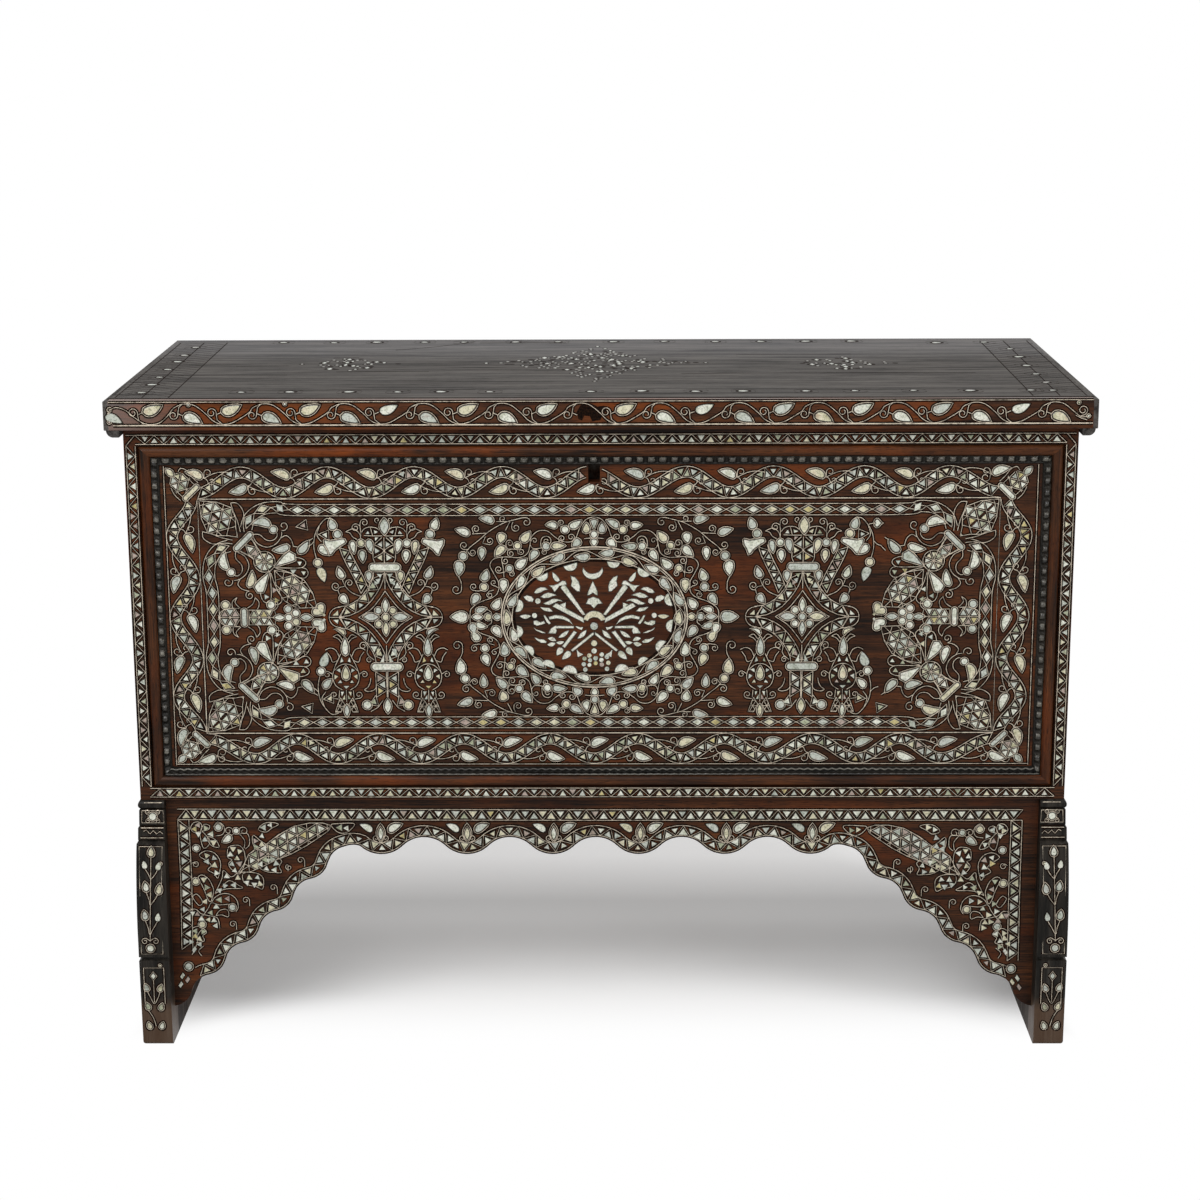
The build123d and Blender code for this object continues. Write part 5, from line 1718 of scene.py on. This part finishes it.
def lid_top_inlay(inlay):
    """What is left of the worn inlay: lone chips, two rosettes and a star; v runs back from the front."""
    dull = EDGE - FIRST_PEARL
    for u, v in FRONT_CHIPS + BACK_CHIPS + END_CHIPS:
        # each chip stood in a band of net along the edge, of which the empty grooves are left
        size = inlay.dice.uniform(5.0, 8.0)
        inlay.patch(disc(u, v, size * 1.5, 12), height=0.08)
        inlay.pearl(drop((u - size, v), (u + size, v + inlay.dice.uniform(-4, 4)), size * 1.5), 1, margin=0.8)
        inlay.groove_along(arc(u, v, 19, 20, 160, 0.9), 1.6)
        inlay.groove_along(arc(u, v, 19, 200, 340, 0.9), 1.6)
    for u, v in LEFT_ROSETTE + RIGHT_ROSETTE + STAR_CHIPS:
        inlay.patch(disc(u, v, 9, 10), height=0.08)
        inlay.pearl(rhomb(u, v, inlay.dice.uniform(3, 5), inlay.dice.uniform(7, 11)), 1, margin=0.8)
    # the star and the two rosettes are fields of small chips, most of them dull and some lost
    for reach_u, reach_v, mid_u, mid_v, sharp, share in CHIP_FIELDS:
        for row in range(-int(reach_v / 13), int(reach_v / 13) + 1):
            for k in range(-int(reach_u / 12), int(reach_u / 12) + 1):
                u = mid_u + 12 * (k + row % 2 / 2) + inlay.dice.uniform(-3, 3)
                v = mid_v + 13 * row + inlay.dice.uniform(-3, 3)
                out = (abs(u - mid_u) / reach_u) ** sharp + (abs(v - mid_v) / reach_v) ** sharp
                if out < 1.12 and inlay.dice.random() < share:
                    inlay.patch(disc(u, v, 4.8, 8), height=0.07)
                    if inlay.dice.random() < 0.8:
                        inlay.pearl(rhomb(u, v, inlay.dice.uniform(2.2, 3.6), inlay.dice.uniform(4, 6)),
                                    inlay.dice.choice((dull, dull, dull, 1)), margin=0.3)
    # the nets at the two ends are empty grooves as well
    for side in (-1, 1):
        for k in range(26):
            v = 40 + 21 * k
            inlay.groove_along([(side * 688, v), (side * 650, v + 26), (side * 612, v)], 2.0)
        for u in (612, 650, 688):
            inlay.groove_along([(side * u, 30), (side * u, 590)], 2.0)
    # the painted shadow in the joint behind the rim, and the drying cracks, filled with old dirt
    for line, width in LID_JOINT_SHADOW_AND_CRACKS:
        inlay.groove_along(spline(line, step=12), width, 0.12)


def on_lid_top(u, v, h):
    """The lid's upper face, with v counted back from its front edge."""
    low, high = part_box("lid_board_front"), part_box("lid_front_rim")
    return (u, high[0][1] / MM + v, low[1][2] / MM + h * 0.6)


# ---------------------------------------------------------------- the stage

def aim(piece, place, target):
    """Stand a lamp at a place and turn it to a target."""
    piece.location = place
    piece.rotation_euler = (Vector(target) - Vector(place)).to_track_quat("-Z", "Y").to_euler()


def lamp(name, place, target, size, power):
    """A soft rectangular lamp, with its size in metres and its power in watts."""
    light = bpy.data.lights.new(name, "AREA")
    light.shape = "RECTANGLE"
    light.size, light.size_y = size
    light.energy = power
    aim(placed(name, light), place, target)


def add_camera():
    """A camera 3.9 m in front of the chest, a little above the lid, looking down at it."""
    pitch, yaw, roll = -0.238807, -0.0098275, -0.0039954
    forward = Vector((math.sin(yaw) * math.cos(pitch), math.cos(yaw) * math.cos(pitch), math.sin(pitch)))
    right = Vector((math.cos(yaw), -math.sin(yaw), 0.0))
    above = right.cross(forward)
    leaned_right = right * math.cos(roll) + above * math.sin(roll)
    leaned_above = above * math.cos(roll) - right * math.sin(roll)
    turned = Matrix((leaned_right, leaned_above, -forward)).transposed().to_4x4()
    turned.translation = Vector((0.0341, -3.8702, 1.5530))
    view = bpy.data.cameras.new("camera")
    view.sensor_fit = "AUTO"
    view.sensor_width = 36.0
    view.lens = 76.85
    made = placed("camera", view)
    made.matrix_world = turned
    bpy.context.scene.camera = made


def seen_or_mirrored(tree):
    """1 for what the camera sees directly, in a mirror or through glass, and 0 for the light on the chest."""
    path = node(tree, "LightPath").outputs
    both = node(tree, "Math", {0: path["Is Camera Ray"], 1: path["Is Glossy Ray"]}, operation="MAXIMUM")
    return node(tree, "Math", {0: both, 1: path["Is Transmission Ray"]}, operation="MAXIMUM")


def add_floor(colour):
    """A pale paper floor, white away from the chest and grey in its shadow."""
    mesh = bpy.data.meshes.new("floor")
    mesh.from_pydata([(-14, -9, 0), (14, -9, 0), (14, 30, 0), (-14, 30, 0)], [], [(0, 1, 2, 3)])
    floor = placed("floor", mesh)
    made = material("matt_studio_paper")
    tree = made.node_tree
    place = node(tree, "TexCoord").outputs["Object"]
    tooth = node(tree, "TexNoise", {"Vector": place, "Scale": 1 / (2.5 * MM)})
    paper = node(tree, "ValToRGB", {"Fac": tooth},
                 stops=((0.3, blend_of(colour, WHITE, 0.1)), (0.7, colour)))
    matt = node(tree, "BsdfDiffuse", {"Color": paper, "Roughness": 0.6})
    # seen directly, the paper is bare white to the sides, in front and behind, and below the chest it has
    # painted light, a glow that lightens its shadow
    parts = node(tree, "SeparateXYZ", {"Vector": place})
    out = node(tree, "Math", {0: parts.outputs["X"]}, operation="ABSOLUTE")
    # where the white starts and where it is complete, in metres from the middle
    side, front, back = (
        node(tree, "MapRange", {"Value": way, "From Min": start, "From Max": full},
             interpolation_type="SMOOTHSTEP")
        for way, start, full in ((out, 0.64, 0.72), (parts.outputs["Y"], -0.08, -0.3),
                                 (parts.outputs["Y"], 0.64, 0.76)))
    away = node(tree, "Math", {0: side, 1: front}, operation="MAXIMUM")
    away = node(tree, "Math", {0: away, 1: back}, operation="MAXIMUM")
    # the painted light is graded along the depth, so the shadow below the chest looks lighter and darker in
    # bands
    depth = node(tree, "MapRange", {"Value": parts.outputs["Y"], "From Min": -0.3, "From Max": 0.6})
    glow = node(tree, "ValToRGB", {"Fac": depth}, stops=(
        (0.2, linear("6e6e6e")), (0.4, linear("828282")), (0.56, linear("6a6a6a")), (0.68, linear("585858")),
        (0.8, linear("7a7a7a")), (0.94, linear("969696"))))
    painted_floor_light = node(tree, "Emission", {"Color": glow, "Strength": 1.0})
    near = node(tree, "AddShader", {0: matt, 1: painted_floor_light})
    bare = node(tree, "Emission", {"Color": WHITE, "Strength": 1.0})
    shown = node(tree, "MixShader", {"Fac": away, 1: near, 2: bare})
    pick = node(tree, "MixShader", {"Fac": seen_or_mirrored(tree), 1: matt, 2: shown})
    node(tree, "OutputMaterial", {"Surface": pick})
    mesh.materials.append(made)


def add_world(strength):
    """Even white light all round, and plain white to the camera."""
    world = bpy.data.worlds.new("studio")
    bpy.context.scene.world = world
    world.use_nodes = True
    tree = world.node_tree
    tree.nodes.clear()
    even = node(tree, "Background", {"Color": WHITE, "Strength": strength})
    white = node(tree, "Background", {"Color": WHITE, "Strength": 1.0})
    pick = node(tree, "MixShader", {"Fac": seen_or_mirrored(tree), 1: even, 2: white})
    node(tree, "OutputWorld", {"Surface": pick})


# ---------------------------------------------------------------- operators

class DOWRY_OT_materials(bpy.types.Operator):
    """Make the woods, pearl, wire, mastic and iron"""
    bl_idname = "dowry.materials"
    bl_label = "Materials"

    def execute(self, context):
        c = context.scene.dowry_colours
        dark, mid, light = tuple(c.walnut_dark), tuple(c.walnut_mid), tuple(c.walnut_light)
        bare, grime, black = tuple(c.worn_light), tuple(c.worn_dark), tuple(c.ebony)
        # walnut, planed and wax polished: red brown with a soft shine and dark figure
        for name, grain, shift, red in (
                ("level", "x", 0.0, 0), ("upright", "z", 5.0, 0), ("moulding", "x", 3.0, 1)):
            wood("polished_walnut_" + name, grain, dark, blend_of(mid, light, 0.5 * red), light, shift=shift,
                 glow=linear("7a3a12" if red else "5f2d10"))
        # the same walnut on the lid's front, redder, and greyed by hands at its left end and on top
        wood("polished_walnut_rim", "x", dark, blend_of(mid, light, 0.4), light, shift=29.0,
             glow=linear("74380f"), mute=linear("463026"), worn=0.3, changes=(
                 ("X", -0.54, -0.68, linear("5e5755")), ("Z", 0.9742, 0.9748, linear("4e4c4a"))))
        # walnut bared by two centuries of hands and cloths: grey fibres and black cracks
        for name, grain in (("lid", "x"), ("edging", "y")):
            wood("worn_walnut_" + name, grain, grime, blend_of(grime, bare, 0.6), bare,
                 rough=0.6, figure_mm=12.0, shift=9.0, blotch=0.55, shine=0.02,
                 mute=linear("696561"), worn=0.55, changes=(("Y", 0.08, 0.24, linear("3e3e40")),))
        wood("worn_walnut_upright", "z", dark, blend_of(mid, grime, 0.6), bare,
             rough=0.6, figure_mm=16.0, shift=13.0, blotch=0.7, mute=linear("4d443b"), worn=0.6)
        # walnut stained with iron and vinegar: black, brown only where it has rubbed
        for name, grain, shift in (("level", "x", 17.0), ("upright", "z", 19.0)):
            wood("ebonised_walnut_" + name, grain, linear("0b0a08"), black, linear("33302b"),
                 rough=0.4, figure_mm=9.0, shift=shift, mute=linear("3a352f"), worn=0.3)
        # the crests of the carving, where polishing has cut through the stain to a grey gloss, lightened
        # further as a painted highlight where light falls on the lumps
        wood("ebonised_walnut_crest_rubbed_and_highlit", "x", black, linear("4c4942"), linear("8a877c"),
             rough=0.34, figure_mm=9.0, shift=31.0, blotch=0.6, shine=0.4)
        # the feet are black as well, and scrubbed brown near the floor
        wood("ebonised_walnut_foot", "z", black, black, linear("33302c"),
             rough=0.4, figure_mm=9.0, shift=37.0, mute=linear("443e37"), worn=0.35,
             changes=(("Z", 0.08, 0.06, linear("463427")),))
        # poplar, sawn and left bare: pale, dry and dull
        heart, sap = tuple(c.poplar_dark), tuple(c.poplar_light)
        for name, grain in (("level", "x"), ("across", "y")):
            wood("sawn_poplar_" + name, grain, heart, blend_of(heart, sap, 0.6), sap,
                 rough=0.75, figure_mm=34.0, shift=23.0, blotch=0.6, mute=linear("786450"), worn=0.4)
        tin_wire("drawn_tin_wire", tuple(c.wire))
        mastic_filler("lampblack_mastic", tuple(c.mastic))
        mother_of_pearl("grimed_pearl_edge", linear("66645a"), linear("38362f"))
        forged_iron("forged_iron_blackened", tuple(c.iron))
        for name, tint, shade, _ in PEARL_TINTS:
            mother_of_pearl("polished_pearl_" + name, linear(tint), linear(shade))
        return {"FINISHED"}


WOODS = {
    "polished_walnut_level": ("front_board", "top_rail", "bottom_rail", "bottom_moulding",
                              "apron", "apron_blocks"),
    "polished_walnut_rim": ("lid_front_rim",),
    "polished_walnut_moulding": ("top_moulding",),
    "polished_walnut_upright": ("left_stile", "right_stile", "left_moulding", "right_moulding"),
    "worn_walnut_lid": ("lid_board_front", "lid_board_middle", "lid_board_back"),
    "worn_walnut_edging": ("left_lid_edging", "right_lid_edging", "left_lid_cleat", "right_lid_cleat"),
    "worn_walnut_upright": ("left_end_board", "right_end_board"),
    "ebonised_walnut_level": ("top_ripple", "bottom_ripple"),
    "ebonised_walnut_upright": ("left_ripple", "right_ripple"),
    "ebonised_walnut_foot": ("left_foot_console", "right_foot_console"),
    "sawn_poplar_level": ("back_board_lower", "back_board_middle", "back_board_upper", "bottom_board_front",
                          "bottom_board_middle", "bottom_board_back", "front_ledger", "back_ledger"),
    "sawn_poplar_across": ("left_ledger", "right_ledger", "till_bottom", "till_wall"),
    "forged_iron_blackened": ("left_hinge_leaf", "right_hinge_leaf", "left_hinge_pin", "right_hinge_pin",
                              "leaf_nails", "lock_case", "bolt_guides", "left_hinge_strap",
                              "right_hinge_strap", "strap_nails", "lock_bolt"),
}


class DOWRY_OT_carcass(bpy.types.Operator):
    """Finish the boards and the ironwork"""
    bl_idname = "dowry.carcass"
    bl_label = "Boards and ironwork"

    def execute(self, context):
        for finish, names in WOODS.items():
            for name in names:
                dress(bpy.data.objects[name], bpy.data.materials[finish])
        piece_of("back_joints", "case", on_back, 61, board_joints)
        return {"FINISHED"}


class DOWRY_OT_frame_inlay(bpy.types.Operator):
    """Inlay the triangle bands of the frame"""
    bl_idname = "dowry.frame_inlay"
    bl_label = "Frame bands"

    def execute(self, context):
        piece_of("frame_inlay", "case", on_front(FRAME_FACE), 11, frame_bands)
        return {"FINISHED"}


class DOWRY_OT_panel_inlay(bpy.types.Operator):
    """Inlay the border, corners and motifs of the front panel"""
    bl_idname = "dowry.panel_inlay"
    bl_label = "Front panel"

    def execute(self, context):
        piece_of("border_inlay", "case", on_front(PANEL_FACE), 21, panel_border, holes=LOCK_SLOT)
        piece_of("diamond_inlay", "case", on_front(PANEL_FACE), 22, diamond_bands)
        piece_of("corner_inlay", "case", on_front(PANEL_FACE), 23, corner_knots, side_motifs)
        piece_of("vase_inlay", "case", on_front(PANEL_FACE), 24, vases)
        piece_of("medallion_inlay", "case", on_front(PANEL_FACE), 25, medallion)
        return {"FINISHED"}


class DOWRY_OT_ripples(bpy.types.Operator):
    """Carve the black ripple moulding round the panel"""
    bl_idname = "dowry.ripples"
    bl_label = "Ripple moulding"

    def execute(self, context):
        carved_ripples()
        return {"FINISHED"}


class DOWRY_OT_apron_inlay(bpy.types.Operator):
    """Inlay the apron"""
    bl_idname = "dowry.apron_inlay"
    bl_label = "Apron"

    def execute(self, context):
        piece_of("apron_inlay", "case", on_front(APRON_FACE), 41, apron_inlay)
        return {"FINISHED"}


class DOWRY_OT_feet_inlay(bpy.types.Operator):
    """Inlay the two feet"""
    bl_idname = "dowry.feet_inlay"
    bl_label = "Feet"

    def execute(self, context):
        for side, across in (("left", 1), ("right", -1)):
            piece_of(side + "_foot_inlay", "case", on_carving(side + "_foot_console"), 51 + across,
                     foot_inlay, across=across)
        return {"FINISHED"}


class DOWRY_OT_lid_inlay(bpy.types.Operator):
    """Inlay the front and the top of the lid"""
    bl_idname = "dowry.lid_inlay"
    bl_label = "Lid"

    def execute(self, context):
        piece_of("lid_vine_inlay", "lid", on_front(LID_FACE), 31, lid_vine)
        piece_of("lid_top_inlay", "lid", on_lid_top, 32, lid_top_inlay)
        return {"FINISHED"}


class DOWRY_OT_stage(bpy.types.Operator):
    """Set up the floor, the light and the camera"""
    bl_idname = "dowry.stage"
    bl_label = "Stage"

    def execute(self, context):
        s = context.scene.dowry_stage
        context.scene.view_settings.view_transform = "Standard"
        add_camera()
        add_floor(tuple(s.floor))
        add_world(s.fill_strength)
        lamp("key_lamp", (-1.4, -3.0, 3.4), (0, 0, 0.5), (2.6, 2.0), s.key_power)
        lamp("side_lamp", (2.8, -2.6, 2.2), (0, 0, 0.5), (1.6, 1.6), s.key_power * 0.35)
        lamp("top_lamp", (0.3, 1.4, 3.2), (0, 0, 0.8), (2.4, 1.2), s.key_power * 0.3)
        return {"FINISHED"}


class DOWRY_PT_panel(bpy.types.Panel):
    """The chest's finishing steps"""
    bl_label = "Dowry Chest"
    bl_idname = "DOWRY_PT_panel"
    bl_space_type = "VIEW_3D"
    bl_region_type = "UI"
    bl_category = "Dowry Chest"

    def draw(self, context):
        for operator in STEPS:
            self.layout.operator(operator.bl_idname)
        for group in (context.scene.dowry_inlay, context.scene.dowry_colours, context.scene.dowry_stage):
            box = self.layout.box()
            for key in group.bl_rna.properties.keys():
                if key not in ("rna_type", "name"):
                    box.prop(group, key)


STEPS = (DOWRY_OT_materials, DOWRY_OT_carcass, DOWRY_OT_ripples, DOWRY_OT_frame_inlay, DOWRY_OT_panel_inlay,
         DOWRY_OT_apron_inlay, DOWRY_OT_feet_inlay, DOWRY_OT_lid_inlay, DOWRY_OT_stage)
CLASSES = (DowryInlay, DowryColours, DowryStage) + STEPS + (DOWRY_PT_panel,)


def register():
    for kind in CLASSES:
        bpy.utils.register_class(kind)
    bpy.types.Scene.dowry_inlay = bpy.props.PointerProperty(type=DowryInlay)
    bpy.types.Scene.dowry_colours = bpy.props.PointerProperty(type=DowryColours)
    bpy.types.Scene.dowry_stage = bpy.props.PointerProperty(type=DowryStage)


def unregister():
    del bpy.types.Scene.dowry_inlay
    del bpy.types.Scene.dowry_colours
    del bpy.types.Scene.dowry_stage
    for kind in reversed(CLASSES):
        bpy.utils.unregister_class(kind)


def main():
    register()
    for operator in STEPS:
        space, verb = operator.bl_idname.split(".")
        getattr(getattr(bpy.ops, space), verb)()


if __name__ == "__main__":
    main()
